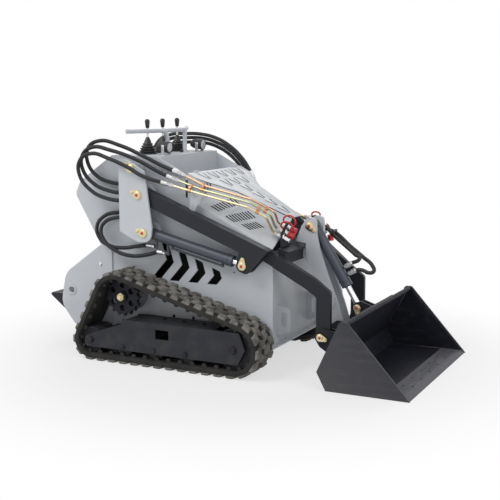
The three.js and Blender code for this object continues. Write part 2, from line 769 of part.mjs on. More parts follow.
// Where a tube of [x, y, z] points is at a given x.
function lineAt(points, x) {
  const i = points.findIndex((point) => point[0] > x);
  const [before, after] = [points[i - 1], points[i]];
  const share = (x - before[0]) / (after[0] - before[0]);
  return before.map((value, k) => value + (after[k] - value) * share);
}

function steelLines(hand, side) {
  const { tubes, clamps, feet } = LINES[hand];
  const pipes = tubes.map((points, i) => tube([
    ...points.map(([x, y, z]) => [x, side * y, z]),
    onCoupler(COUPLERS[i], side, -COUPLER.back - 24),
    onCoupler(COUPLERS[i], side, -COUPLER.back - GAP),
  ], LINE_RADIUS, 12, 6));
  const blocks = clamps.map(([x, i]) => {
    const [, outer, low] = lineAt(tubes[i], x);
    const [, inner, high] = lineAt(tubes[i + 1], x);
    return block(x - 9, x + 9, side * (outer + 8), side * (inner - 8), low - 12, high + 12);
  });
  const plates = feet.map((foot) => (
    sidePlate(outline(foot), side * (ARM_INNER + 8), side * (ARM_INNER + 14))
  ));
  return joined(...pipes, ...blocks, ...plates);
}

for (const [hand, side] of SIDES) piece(`steel_lines_${hand}`, steelLines(hand, side), yellowZinc);

// ---------------------------------------------------------------- cylinders

const CYLINDER_MIDDLE = (ARM_INNER + ARM_OUTER) / 2;

function between(from, to, share) {
  return [from[0] + (to[0] - from[0]) * share, from[1] + (to[1] - from[1]) * share];
}

function atHeight(place, y) {
  return [place[0], y, place[1]];
}

// The two halves of a cylinder from one [x, z] pin to another, in the plane at distance y.
function cylinderHalves(base, eye, y, sizes) {
  const { barrelRadius, barrelLength, rodRadius, eyeHalf, basePin, retracts } = sizes;
  const length = Math.hypot(eye[0] - base[0], eye[1] - base[1]);
  const start = between(base, eye, 24 / length);
  const end = between(base, eye, barrelLength / length);
  const boreStart = between(base, eye, BORE_BOTTOM / length);
  const rodStart = between(base, eye, (BORE_BOTTOM + retracts + 10) / length);
  const barrel = cutFrom(
    joined(
      rodBetween(atHeight(start, y), atHeight(end, y), barrelRadius),
      disc(base, EYE_RADIUS, y - eyeHalf, y + eyeHalf),
    ),
    rodBetween(atHeight(boreStart, y), atHeight(between(base, eye, 1.05), y), rodRadius + CYLINDER_BORE),
    disc(base, basePin + PIN_PLAY, y - 60, y + 60, 16),
  );
  const rod = joined(
    rodBetween(atHeight(rodStart, y), atHeight(between(base, eye, (length - 10) / length), y), rodRadius),
    disc(eye, EYE_RADIUS, y - eyeHalf, y + eyeHalf),
  );
  return { barrel, rod };
}

const LIFT_PORTS = [{ x: -344, z: 624, hose: -372 }, { x: -274, z: 592, hose: -306 }];
const FITTING_RADIUS = 8;

// Under a lift barrel: two elbows for its hoses, and the steel line that runs to its front end.
function liftPorts(side) {
  const y = side * CYLINDER_MIDDLE;
  const fall = (LIFT_EYE[1] - LIFT_BASE[1]) / (LIFT_EYE[0] - LIFT_BASE[0]);
  const middleZ = (x) => LIFT_BASE[1] + fall * (x - LIFT_BASE[0]);
  const elbows = LIFT_PORTS.map(({ x, z, hose }) => joined(
    rodBetween([x, y, middleZ(x) - LIFT_BARREL_RADIUS + 2], [x, y, z - FITTING_RADIUS], FITTING_RADIUS, 10),
    rodBetween([x, y, z], [hose, y, z + 4], FITTING_RADIUS, 10),
  ));
  const lineEnds = [[-247, 14], [56, 14]].map(([x, drop]) => [x, y, middleZ(x) - LIFT_BARREL_RADIUS - drop]);
  const line = rodBetween(...lineEnds, 6, 8);
  const stubs = lineEnds.map(([x, , z]) => (
    rodBetween([x, y, z - 6], [x, y, middleZ(x) - LIFT_BARREL_RADIUS + 2], 8, 8)
  ));
  return joined(...elbows, line, ...stubs);
}

for (const [hand, side] of SIDES) {
  const { barrel, rod } = cylinderHalves(LIFT_BASE, LIFT_EYE, side * CYLINDER_MIDDLE, {
    barrelRadius: LIFT_BARREL_RADIUS,
    barrelLength: LIFT_BARREL_LENGTH,
    rodRadius: LIFT_ROD_RADIUS,
    eyeHalf: (ARM_OUTER - ARM_INNER) / 2 - CLEVIS_CHEEK - EYE_PLAY,
    basePin: 16,
    retracts: 0,
  });
  piece(`lift_cylinder_barrel_${hand}`, joined(barrel, liftPorts(side)), charcoal);
  piece(`lift_cylinder_rod_${hand}`, rod, chrome);
}

const tilt = cylinderHalves(TILT_BASE, TILT_EYE, 0, {
  barrelRadius: TILT_BARREL_RADIUS,
  barrelLength: TILT_BARREL_LENGTH,
  rodRadius: TILT_ROD_RADIUS,
  eyeHalf: TILT_EYE_HALF,
  basePin: 15,
  retracts: 72,
});
const TILT_LENGTH = Math.hypot(TILT_EYE[0] - TILT_BASE[0], TILT_EYE[1] - TILT_BASE[1]);

// A place on the tilt cylinder: along it from its base pin, and in front of its middle line.
function onTilt(along, ahead) {
  const [dx, dz] = [(TILT_EYE[0] - TILT_BASE[0]) / TILT_LENGTH, (TILT_EYE[1] - TILT_BASE[1]) / TILT_LENGTH];
  return [TILT_BASE[0] + along * dx - ahead * dz, TILT_BASE[1] + along * dz + ahead * dx];
}

const TILT_PORT_LENGTH = 52;
const TILT_PORTS = [276, 318]; // along the cylinder from its base pin
const tiltPorts = TILT_PORTS.map((along) => rodBetween(
  atHeight(onTilt(along, TILT_BARREL_RADIUS - 3), 0),
  atHeight(onTilt(along, TILT_PORT_LENGTH), 0),
  FITTING_RADIUS,
  10,
));
piece('tilt_cylinder_barrel', joined(tilt.barrel, ...tiltPorts), charcoal);
piece('tilt_cylinder_rod', tilt.rod, chrome);

// ---------------------------------------------------------------- bucket

function bucketSide(side) {
  const edge = outline([
    BUCKET_HEEL, [BUCKET_TIP, 0], [800, 352, 20], [762, 352, 20], BUCKET_BACK_LOW,
  ]);
  return sidePlate(edge, side * BUCKET_HALF, side * (BUCKET_HALF - BUCKET_SIDE_PLATE));
}

function bucketShell() {
  const half = BUCKET_HALF - BUCKET_SIDE_PLATE + 1;
  const sheet = strip([BUCKET_BACK_TOP, BUCKET_BACK_LOW, BUCKET_HEEL, [BUCKET_TIP - 132, 0]], BUCKET_SHEET);
  const lip = disc([786, 338], 13, -half, half, 20);
  return joined(sidePlate(sheet, -half, half), lip, bucketSide(1), bucketSide(-1));
}

piece('bucket_shell', bucketShell(), blackPaint);

const EDGE_HALF = BUCKET_HALF - BUCKET_SIDE_PLATE - GAP;
piece('bucket_cutting_edge', sidePlate(
  outline([
    [BUCKET_TIP - 132 + GAP, 0], [BUCKET_TIP - 3, 0], [BUCKET_TIP - 22, 14], [BUCKET_TIP - 132 + GAP, 14],
  ]),
  -EDGE_HALF,
  EDGE_HALF,
), blackPaint);

// A place behind the bucket's back: up along the back from its low corner, and behind it.
function behindBack(up, behind) {
  const dx = BUCKET_BACK_TOP[0] - BUCKET_BACK_LOW[0];
  const dz = BUCKET_BACK_TOP[1] - BUCKET_BACK_LOW[1];
  const length = Math.hypot(dx, dz);
  return [
    BUCKET_BACK_LOW[0] + (dx * up - dz * behind) / length,
    BUCKET_BACK_LOW[1] + (dz * up + dx * behind) / length,
  ];
}

function hitch() {
  const sheet = outline([
    behindBack(6, GAP), behindBack(6, GAP + 12), behindBack(276, GAP + 12), behindBack(276, GAP),
  ]);
  const pivotLug = outline([
    behindBack(10, 8), behindBack(150, 8), [BUCKET_PIVOT[0] + 6, BUCKET_PIVOT[1] + 46, 30],
    [BUCKET_PIVOT[0] - 44, BUCKET_PIVOT[1] + 10, 30], [BUCKET_PIVOT[0] - 6, BUCKET_PIVOT[1] - 50, 24],
  ]);
  const eyeLug = outline([
    behindBack(120, 8), behindBack(268, 8), [TILT_EYE[0] + 18, TILT_EYE[1] + 38, 22],
    [TILT_EYE[0] - 46, TILT_EYE[1] + 6, 26], [TILT_EYE[0] - 4, TILT_EYE[1] - 46, 20],
  ]);
  const lugs = [];
  const pins = [];
  for (const side of [-1, 1]) {
    const outer = LEG_OUTER + SIDE_PLAY;
    const inner = LEG_INNER - SIDE_PLAY;
    const centre = BRACKET_INNER + BRACKET_PLATE + SIDE_PLAY;
    for (const [from, to] of [[outer, outer + 12], [inner - 12, inner], [centre, centre + 12]]) {
      lugs.push(sidePlate(pivotLug, side * from, side * to));
    }
    lugs.push(sidePlate(eyeLug, side * (TILT_EYE_HALF + EYE_PLAY), side * (TILT_EYE_HALF + EYE_PLAY + 12)));
    pins.push(disc(BUCKET_PIVOT, BUCKET_PIN_RADIUS, side * (BRACKET_INNER - 2), side * (centre + 12), 16));
    pins.push(disc(BUCKET_PIVOT, BUCKET_PIN_RADIUS, side * (inner - 12), side * (outer + 14), 16));
  }
  return joined(sidePlate(sheet, -282, 282), ...lugs, ...pins);
}

piece('bucket_hitch', hitch(), blackPaint);

// ---------------------------------------------------------------- engine and controls

piece('engine_block', block(-600, 180, -210, 210, BODY_BOTTOM + SHEET + GAP, 640), engineGrey);

const HANDLEBAR_HEIGHT = 128; // above the console's top
const HANDLEBAR_RADIUS = 12;
const HANDLEBAR_POSTS = { x: -434, y: 95 };

function handlebar() {
  const height = HANDLEBAR_HEIGHT;
  const radius = HANDLEBAR_RADIUS;
  const z = CONSOLE_TOP + height;
  const { x, y } = HANDLEBAR_POSTS;
  const bars = [-1, 1].map((side) => tube([
    [-555, side * 322, z], [-502, side * 232, z], [-456, side * 138, z], [x - 4, side * (y + 8), z - 6],
    [x, side * y, z - height * 0.4], [x, side * y, CONSOLE_TOP + GAP],
  ], radius, 12, 8));
  return joined(...bars, rodBetween([x - 8, -y - 14, z], [x - 8, y + 14, z], radius, 12));
}

piece('handlebar', handlebar(), bodyGrey);

for (const [name, y] of [['left', 160], ['middle', 0], ['right', -160]]) {
  const boot = new THREE.LatheGeometry([
    [0, 0], [52, 0], [50, 14], [44, 16], [42, 30], [34, 33], [32, 48], [22, 52], [16, 80], [7, 94], [6, 145],
    [11, 150], [14, 184], [9, 192], [0, 192],
  ].map((p) => new THREE.Vector2(...p)), 16);
  boot.rotateX(Math.PI / 2);
  boot.translate(-523, y, CONSOLE_TOP + GAP);
  piece(`control_lever_${name}`, solidOf(boot), blackPlastic);
}

const LAMP_HEIGHT = 44; // of its middle above the console's top
const LAMP_RADIUS = 32;

for (const [hand, side] of SIDES) {
  const y = side * 186;
  const lamp = joined(
    rodBetween(
      [-415, y, CONSOLE_TOP + LAMP_HEIGHT], [-360, y, CONSOLE_TOP + LAMP_HEIGHT - 4], LAMP_RADIUS, 28,
    ),
    block(-400, -376, y - 6, y + 6, CONSOLE_TOP + GAP, CONSOLE_TOP + LAMP_HEIGHT - 20),
  );
  piece(`work_light_${hand}`, lamp, blackPlastic);
}

// ---------------------------------------------------------------- hydraulic lines

const HOSE_RADIUS = 11;

const HOSE_CLAMP = { rear: -545, front: -533 }; // inside the rear edge of a tower

function hoseBundle(routes, side, clamp) {
  const hoses = routes.map((route) => {
    const points = route.map(([x, y, z]) => [x, side * y, z]);
    return tube(points, HOSE_RADIUS, route.length + 4, 6);
  });
  return joined(...hoses, clamp);
}

const LIFT_HOSE_ROUTES = {
  right: [
    [[-534, 349, 954], [-632, 349, 957], [-736, 356, 996], [-780, 372, 1070], [-762, 388, 1146],
      [-684, 390, 1186], [-560, 384, 1164], [-410, 366, 1104], [-300, 345, 1052], [-222, 338, 1024]],
    [[-534, 373, 905], [-636, 373, 914], [-744, 380, 956], [-798, 396, 1034], [-784, 412, 1106],
      [-712, 422, 1152], [-590, 430, 1140], [-440, 402, 1090], [-320, 372, 1026], [-248, 358, 995]],
    [[-534, 394, 867], [-636, 394, 874], [-744, 402, 918], [-802, 420, 1002], [-784, 436, 1080],
      [-702, 446, 1120], [-590, 448, 1097], [-460, 446, 1048], [-376, 436, 1005], [-270, 380, 967]],
  ],
  left: [
    [[-534, 349, 954], [-640, 349, 955], [-760, 356, 990], [-818, 372, 1070], [-790, 385, 1150],
      [-700, 385, 1192], [-590, 378, 1199], [-490, 372, 1198], [-390, 368, 1180], [-290, 364, 1135],
      [-200, 358, 1062], [-150, 350, 1000], [-120, 339.5, 958]],
    [[-534, 373, 905], [-640, 373, 912], [-770, 380, 950], [-836, 396, 1030], [-815, 410, 1110],
      [-729, 414, 1162], [-600, 402, 1173], [-490, 396, 1172], [-395, 392, 1152], [-300, 388, 1108],
      [-218, 380, 1040], [-168, 370, 975], [-138, 360, 933]],
    [[-534, 394, 867], [-640, 394, 872], [-770, 402, 912], [-840, 420, 1000], [-815, 432, 1085],
      [-716, 436, 1134], [-600, 428, 1146], [-490, 422, 1144], [-400, 418, 1123], [-312, 412, 1078],
      [-238, 404, 1012], [-188, 392, 948], [-158, 379, 905]],
  ],
};

function intoPort({ hose, z }) {
  return [[hose - 24, CYLINDER_MIDDLE, z + 6], [hose - 2 * GAP, CYLINDER_MIDDLE, z + 4]];
}

const CYLINDER_HOSE_ROUTES = [
  [[-534, 345, 797], [-600, 350, 796], [-692, 358, 770], [-733, 366, 712], [-712, 370, 648], [-650, 370, 612],
    [-560, 370, 606], [-470, 370, 620], ...intoPort(LIFT_PORTS[0])],
  [[-534, 374, 774], [-600, 376, 770], [-668, 380, 744], [-694, 384, 700], [-672, 386, 640], [-600, 386, 590],
    [-500, 384, 568], [-400, 376, 580], ...intoPort(LIFT_PORTS[1])],
];

for (const [hand, side] of SIDES) {
  const { rear, front } = HOSE_CLAMP;
  const [inner, outer] = [side * (BODY_HALF + GAP), side * (TOWER_INNER - GAP)];
  piece(
    `lift_hoses_${hand}`,
    hoseBundle(LIFT_HOSE_ROUTES[hand], side, block(rear, front, inner, outer, 850, 970)),
    hoseRubber,
  );
  piece(
    `cylinder_hoses_${hand}`,
    hoseBundle(CYLINDER_HOSE_ROUTES, side, block(rear, front, inner, outer, 758, 812)),
    hoseRubber,
  );
}

function tiltHoses() {
  const starts = [COUPLERS[2], COUPLERS[1]].map((at) => (
    [0.6, 24].map((past) => onCoupler(at, 1, COUPLER.front + past))
  ));
  const ends = TILT_PORTS.map((along) => (
    [28, 0.6].map((past) => atHeight(onTilt(along, TILT_PORT_LENGTH + past), 0))
  ));
  const routes = [
    [...starts[0], [470, 125, 678], [560, 80, 628], [632, 40, 590], [668, 8, 575], ...ends[0]],
    [...starts[1], [480, 150, 682], [580, 105, 622], [665, 70, 575], [730, 40, 535], [742, 22, 510],
      [722, 6, 504], [685, 0, 517], ...ends[1]],
  ];
  const tie = block(468, 480, 112, 168, 664, 704);
  return joined(...routes.map((route) => tube(route, HOSE_RADIUS, route.length + 6, 6)), tie);
}

piece('tilt_hoses', tiltHoses(), hoseRubber);

export default loader;
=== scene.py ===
"""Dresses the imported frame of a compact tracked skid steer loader.

Lengths are in metres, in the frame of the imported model: +X is the front, +Y the machine's left, +Z up.
"""

import json
import math

import bpy
from mathutils import Matrix, Vector


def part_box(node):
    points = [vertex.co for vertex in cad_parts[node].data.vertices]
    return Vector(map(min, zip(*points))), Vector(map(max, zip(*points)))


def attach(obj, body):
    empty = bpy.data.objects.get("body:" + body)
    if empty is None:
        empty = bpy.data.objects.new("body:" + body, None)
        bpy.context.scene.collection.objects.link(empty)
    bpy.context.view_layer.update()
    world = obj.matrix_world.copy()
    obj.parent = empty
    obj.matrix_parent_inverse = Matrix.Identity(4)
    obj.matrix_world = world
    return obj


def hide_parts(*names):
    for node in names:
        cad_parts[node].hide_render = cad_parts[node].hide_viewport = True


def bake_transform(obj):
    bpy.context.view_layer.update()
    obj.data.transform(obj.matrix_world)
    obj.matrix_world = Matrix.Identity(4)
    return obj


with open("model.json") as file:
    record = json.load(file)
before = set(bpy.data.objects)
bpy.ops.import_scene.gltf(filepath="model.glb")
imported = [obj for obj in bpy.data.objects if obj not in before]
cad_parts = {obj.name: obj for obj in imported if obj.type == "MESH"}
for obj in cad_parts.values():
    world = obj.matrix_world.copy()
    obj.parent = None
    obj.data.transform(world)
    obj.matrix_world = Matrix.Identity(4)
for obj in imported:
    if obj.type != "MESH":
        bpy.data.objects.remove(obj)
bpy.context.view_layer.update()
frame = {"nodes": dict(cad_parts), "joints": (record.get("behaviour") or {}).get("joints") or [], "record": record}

bl_info = {
    "name": "Tracked skid steer loader",
    "version": (1, 0, 0),
    "blender": (4, 5, 0),
    "location": "3D View > Sidebar > Loader",
    "description": "Tracks, hoses, pins, covers and finishes of a compact tracked skid steer loader",
    "category": "Object",
}

SIDES = {"left": 1, "right": -1}


# ---------------------------------------------------------------- places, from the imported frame

def joint_place(name):
    joint = next(j for j in frame["joints"] if j["name"] == name)
    return Vector(joint["pos_m"])


def middle(node):
    low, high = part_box(node)
    return (low + high) / 2


def outer_face(node, side):
    """How far out a node reaches on one side, as a distance from the middle plane."""
    low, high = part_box(node)
    return high.y if side > 0 else -low.y


ARM_PIVOT = joint_place("lift_arms")
BUCKET_PIVOT = joint_place("bucket_tilt")
LIFT_BASE = joint_place("lift_barrel_left_swing")
TILT_BASE = joint_place("tilt_barrel_swing")
HOOD_HINGE = joint_place("hood_hinge")
SPROCKET = middle("final_drive_left")
FRONT_IDLER = middle("front_idler_left")
REAR_IDLER = middle("rear_idler_left")
BODY_HALF = 0.32
COUPLER_X = 0.334
COUPLER_FALL = 0.4


# ---------------------------------------------------------------- modelling by operators

def pick(*objects):
    """Leaves only these objects selected, the last of them active."""
    active = bpy.context.view_layer.objects.active
    if active is not None and active.mode != "OBJECT":
        bpy.ops.object.mode_set(mode="OBJECT")
    bpy.ops.object.select_all(action="DESELECT")
    for obj in objects:
        obj.select_set(True)
    bpy.context.view_layer.objects.active = objects[-1] if objects else None


def edit(obj, faces=None, points=None, everything=False):
    """Opens an object for editing with the faces or points that a test picks selected."""
    pick(obj)
    bpy.ops.object.mode_set(mode="EDIT")
    bpy.ops.mesh.select_mode(type="FACE" if faces else "VERT")
    bpy.ops.mesh.select_all(action="SELECT" if everything else "DESELECT")
    if not everything:
        bpy.ops.object.mode_set(mode="OBJECT")
        for item in obj.data.polygons if faces else obj.data.vertices:
            item.select = bool((faces or points)(item))
        bpy.ops.object.mode_set(mode="EDIT")


def close():
    bpy.ops.object.mode_set(mode="OBJECT")


def settle(obj):
    """Moves an object's place and turn into its mesh."""
    pick(obj)
    bpy.ops.object.transform_apply(location=True, rotation=True, scale=True)
    return obj


def apply(obj, kind, **settings):
    """Adds one modifier with these settings and applies it."""
    pick(obj)
    modifier = obj.modifiers.new(kind.title(), kind)
    for key, value in settings.items():
        setattr(modifier, key, value)
    bpy.ops.object.modifier_apply(modifier=modifier.name)
    return obj


def round_edges(obj, width, segments=2, angle=35):
    return apply(
        obj, "BEVEL", width=width, segments=segments, limit_method="ANGLE", angle_limit=math.radians(angle)
    )


def soften(obj, angle=35):
    """Smooth shading except over sharp edges."""
    pick(obj)
    bpy.ops.object.shade_smooth_by_angle(angle=math.radians(angle))
    return obj


def joined(name, pieces):
    pick(*pieces)
    if len(pieces) > 1:
        bpy.ops.object.join()
    obj = bpy.context.view_layer.objects.active
    obj.name = name
    obj.data.name = name
    return obj


def duplicate(obj, name, matrix=None):
    """A copy with its own mesh, placed by a matrix."""
    other = obj.copy()
    other.data = obj.data.copy()
    other.name = name
    bpy.context.scene.collection.objects.link(other)
    if matrix is not None:
        other.data.transform(matrix)
        if matrix.determinant() < 0:
            other.data.flip_normals()
    return other


def bare_copy(node, name):
    """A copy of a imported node's mesh without its modifiers, the points of its triangles merged."""
    obj = duplicate(frame["nodes"][node], name)
    obj.modifiers.clear()
    return apply(obj, "WELD", merge_threshold=0.00001)


def remove(*objects):
    for obj in objects:
        bpy.data.objects.remove(obj, do_unlink=True)


def paint(obj, *materials):
    obj.data.materials.clear()
    for material in materials:
        obj.data.materials.append(material)
    return obj


def toward(direction):
    """A turn that takes +Z to a direction."""
    return Vector(direction).to_track_quat("Z", "Y").to_matrix().to_4x4()


def slab(name, low, high, edge=0.0):
    """A block between two corners, its edges rounded."""
    low, high = Vector(low), Vector(high)
    bpy.ops.mesh.primitive_cube_add(size=1, location=(low + high) / 2)
    obj = bpy.context.object
    obj.name = name
    obj.scale = [abs(v) for v in high - low]
    settle(obj)
    if edge:
        round_edges(obj, edge)
    return obj


def turned(name, rings, start=(0, 0, 0), direction=(0, 0, 1), segments=24, closed=True):
    """A turned part. rings are (distance along, radius), from start in a direction."""
    fill = "NGON" if closed else "NOTHING"
    bpy.ops.mesh.primitive_circle_add(vertices=segments, radius=rings[0][1], fill_type=fill)
    obj = bpy.context.object
    obj.name = name
    bpy.ops.object.mode_set(mode="EDIT")
    bpy.ops.mesh.select_all(action="SELECT")
    along, radius = rings[0]
    for next_along, next_radius in rings[1:]:
        bpy.ops.mesh.extrude_region_move(TRANSFORM_OT_translate={"value": (0, 0, next_along - along)})
        share = next_radius / radius
        if share != 1:
            bpy.ops.transform.resize(value=(share, share, 1), center_override=(0, 0, 0))
        along, radius = next_along, next_radius
    bpy.ops.mesh.select_all(action="SELECT")
    bpy.ops.mesh.normals_make_consistent(inside=False)
    bpy.ops.object.mode_set(mode="OBJECT")
    obj.data.transform(Matrix.Translation(Vector((0, 0, rings[0][0]))))
    obj.data.transform(Matrix.Translation(Vector(start)) @ toward(direction))
    return obj


def disc(name, radius, start, direction, depth, edge=0.0, segments=32):
    """A round plate from start in a direction, its rims chamfered."""
    if edge:
        rings = [(0, radius - edge), (edge, radius), (depth - edge, radius), (depth, radius - edge)]
    else:
        rings = [(0, radius), (depth, radius)]
    return turned(name, rings, start, direction, segments)


def hex_bolt(name, size, start, direction):
    """A bolt head on a washer. size is the thread's diameter."""
    washer = disc("washer", size * 1.1, start, direction, size * 0.2, size * 0.04, 20)
    up = Vector(direction).normalized() * size * 0.2
    head = turned("head", [(0, size * 0.95), (size * 0.5, size * 0.95), (size * 0.62, size * 0.8)],
                  Vector(start) + up, direction, 6)
    return joined(name, [washer, head])


def smooth_line(name, points):
    """A curve object through these points with no corners."""
    data = bpy.data.curves.new(name, "CURVE")
    data.dimensions = "3D"
    data.resolution_u = 14
    spline = data.splines.new("BEZIER")
    spline.bezier_points.add(len(points) - 1)
    for knot, place in zip(spline.bezier_points, points):
        knot.co = place
        knot.handle_left_type = knot.handle_right_type = "AUTO"
    obj = bpy.data.objects.new(name, data)
    bpy.context.scene.collection.objects.link(obj)
    return obj


def with_bends(corners, radii, closed):
    """The places of a line whose corners are rounded, each to its own radius."""
    places = []
    count = len(corners)
    for i, here in enumerate(corners):
        if radii[i] <= 0 or (not closed and i in (0, count - 1)):
            places.append(here)
            continue
        before = (corners[i - 1] - here).normalized()
        after = (corners[(i + 1) % count] - here).normalized()
        half = math.acos(max(-1, min(1, before.dot(after)))) / 2
        if math.pi / 2 - half < 0.01:
            places.append(here)
            continue
        radius = radii[i]
        centre = here + (before + after).normalized() * (radius / math.sin(half))
        start = here + before * (radius / math.tan(half)) - centre
        end = here + after * (radius / math.tan(half)) - centre
        sweep = math.pi - 2 * half
        steps = max(3, math.ceil(sweep / math.radians(15)))
        for k in range(steps + 1):
            turn = k / steps * sweep
            places.append(centre + (start * math.sin(sweep - turn) + end * math.sin(turn)) / math.sin(sweep))
    return places


def poly_line(name, loops, closed=False, flat=False):
    """A curve object of straight steps, one spline for each loop of places."""
    data = bpy.data.curves.new(name, "CURVE")
    data.dimensions = "2D" if flat else "3D"
    for places in loops:
        spline = data.splines.new("POLY")
        spline.points.add(len(places) - 1)
        for point, place in zip(spline.points, places):
            point.co = (*Vector(place).to_3d(), 1)
        spline.use_cyclic_u = closed
    obj = bpy.data.objects.new(name, data)
    bpy.context.scene.collection.objects.link(obj)
    return obj


def bent_line(name, corners, radius):
    """A curve object with straight runs between corners and a round bend at each."""
    corners = [Vector(c) for c in corners]
    return poly_line(name, [with_bends(corners, [radius] * len(corners), False)])


def circle_places(centre, radius, steps=28):
    return [(centre[0] + radius * math.cos(2 * math.pi * k / steps),
             centre[1] + radius * math.sin(2 * math.pi * k / steps)) for k in range(steps)]


def to_mesh(line, name):
    """Turns a curve object into a mesh."""
    pick(line)
    bpy.ops.object.convert(target="MESH")
    obj = bpy.context.object
    obj.data.name = name
    return obj


def sheet(name, loops, thick, edge):
    """A flat sheet in the XY plane, from an outline and its holes."""
    line = poly_line(name, loops, closed=True, flat=True)
    line.data.fill_mode = "BOTH"
    line.data.extrude = thick / 2 - edge
    line.data.bevel_depth = edge
    line.data.bevel_resolution = 1
    line.data.offset = -edge
    return apply(to_mesh(line, name), "WELD", merge_threshold=0.00002)


def plate(name, loops, inner, outer, edge=0.001):
    """A flat plate in the XZ plane between two distances along Y, from an outline and its holes."""
    obj = sheet(name, loops, abs(outer - inner), edge)
    upright = Matrix.Rotation(math.radians(90), 4, "X")
    obj.data.transform(Matrix.Translation((0, (inner + outer) / 2, 0)) @ upright)
    return soften(obj, 40)


def shape(corners):
    """An outline's places from (x, z) or (x, z, corner radius)."""
    radii = [c[2] if len(c) > 2 else 0 for c in corners]
    return with_bends([Vector((c[0], c[1], 0)) for c in corners], radii, True)


def pipe(name, line, radius, sides=3):
    """Turns a curve object into a round closed pipe."""
    line.data.bevel_depth = radius
    line.data.bevel_resolution = sides
    line.data.use_fill_caps = True
    line.name = name
    return soften(to_mesh(line, name), 50)


# ---------------------------------------------------------------- materials

class Value:
    """A number in a finish. Adding, subtracting and multiplying it adds Math nodes."""

    def __init__(self, finish, socket):
        self.finish = finish
        self.socket = socket

    def _with(self, operation, first, second):
        ends = [v.socket if isinstance(v, Value) else v for v in (first, second)]
        node = self.finish.node("ShaderNodeMath", {"operation": operation}, dict(enumerate(ends)))
        return Value(self.finish, node.outputs[0])

    def __add__(self, other):
        return self._with("ADD", self, other)

    def __radd__(self, other):
        return self._with("ADD", other, self)

    def __sub__(self, other):
        return self._with("SUBTRACT", self, other)

    def __rsub__(self, other):
        return self._with("SUBTRACT", other, self)

    def __mul__(self, other):
        return self._with("MULTIPLY", self, other)

    def __rmul__(self, other):
        return self._with("MULTIPLY", other, self)

    def over(self, low, high):
        """0 up to low, 1 from high, smooth between them."""
        node = self.finish.node(
            "ShaderNodeMapRange", {"interpolation_type": "SMOOTHSTEP", "clamp": True},
            {"Value": self.socket, "From Min": low, "From Max": high},
        )
        return Value(self.finish, node.outputs[0])


def add_node(tree, kind, settings=None, inputs=None):
    """Adds a node: its settings first, then its sockets' values or links."""
    node = tree.nodes.new(kind)
    for key, value in (settings or {}).items():
        setattr(node, key, value)
    for key, value in (inputs or {}).items():
        if isinstance(value, Value):
            value = value.socket
        if isinstance(value, bpy.types.NodeSocket):
            tree.links.new(value, node.inputs[key])
        else:
            node.inputs[key].default_value = value
    return node


def new_tree(owner):
    """The empty node tree of a new material or world."""
    owner.use_nodes = True
    owner.node_tree.nodes.clear()
    return owner.node_tree


class Finish:
    """A material under construction, on one Principled shader."""

    def __init__(self, name, colour, roughness=0.5, metallic=0.0, coat=0.0, specular=0.5):
        self.material = bpy.data.materials.new(name)
        self.tree = new_tree(self.material)
        self.shader = self.node("ShaderNodeBsdfPrincipled", {}, {
            "Base Color": (*colour, 1), "Roughness": roughness, "Metallic": metallic,
            "Coat Weight": coat, "Coat Roughness": 0.12, "Specular IOR Level": specular,
        })
        self.out = self.node("ShaderNodeOutputMaterial", {}, {"Surface": self.shader.outputs[0]})
        self.colour = (*colour, 1)
        self.place = self.node("ShaderNodeTexCoord").outputs["Object"]

    def node(self, kind, settings=None, inputs=None):
        return add_node(self.tree, kind, settings, inputs)

    def noise(self, scale, detail=2.0, stretch=None, rough=0.55):
        place = self.place
        if stretch:
            place = self.node("ShaderNodeMapping", {}, {"Vector": place, "Scale": stretch}).outputs[0]
        node = self.node("ShaderNodeTexNoise", {}, {
            "Vector": place, "Scale": scale, "Detail": detail, "Roughness": rough})
        return Value(self, node.outputs[0])

    def edges(self, low=0.52, high=0.58):
        """1 on outer edges and corners."""
        node = self.node("ShaderNodeNewGeometry")
        return Value(self, node.outputs["Pointiness"]).over(low, high)

    def hollow_shade(self, low=0.49, high=0.42):
        """1 in inner corners, the mask of painted shade."""
        node = self.node("ShaderNodeNewGeometry")
        return 1 - Value(self, node.outputs["Pointiness"]).over(high, low)

    def upward(self, low=0.3, high=0.9):
        """1 on faces that look up."""
        normal = self.node("ShaderNodeNewGeometry").outputs["Normal"]
        parts = self.node("ShaderNodeSeparateXYZ", {}, {0: normal})
        return Value(self, parts.outputs["Z"]).over(low, high)

    def height(self, low, high):
        parts = self.node("ShaderNodeSeparateXYZ", {}, {0: self.place})
        return Value(self, parts.outputs["Z"]).over(low, high)

    def blend_colour(self, other, mask, kind="MIX"):
        """Lays another colour over the base colour where a mask is 1."""
        link = self.shader.inputs["Base Color"].links
        base = link[0].from_socket if link else self.colour
        node = self.node("ShaderNodeMix", {"data_type": "RGBA", "blend_type": kind}, {
            0: mask, 6: base, 7: (*other, 1)})
        self.tree.links.new(node.outputs[2], self.shader.inputs["Base Color"])
        return self

    def set(self, socket, value):
        self.tree.links.new(value.socket, self.shader.inputs[socket])
        return self

    def bump(self, height, strength, distance=0.001):
        link = self.shader.inputs["Normal"].links
        inputs = {"Height": height, "Strength": strength, "Distance": distance}
        if link:
            inputs["Normal"] = link[0].from_socket
        node = self.node("ShaderNodeBump", {}, inputs)
        self.tree.links.new(node.outputs[0], self.shader.inputs["Normal"])
        return self


def shade_of(colour, factor):
    return tuple(min(1.0, c * factor) for c in colour[:3])


DUST = (0.30, 0.26, 0.21)
BARE_STEEL = (0.36, 0.36, 0.37)


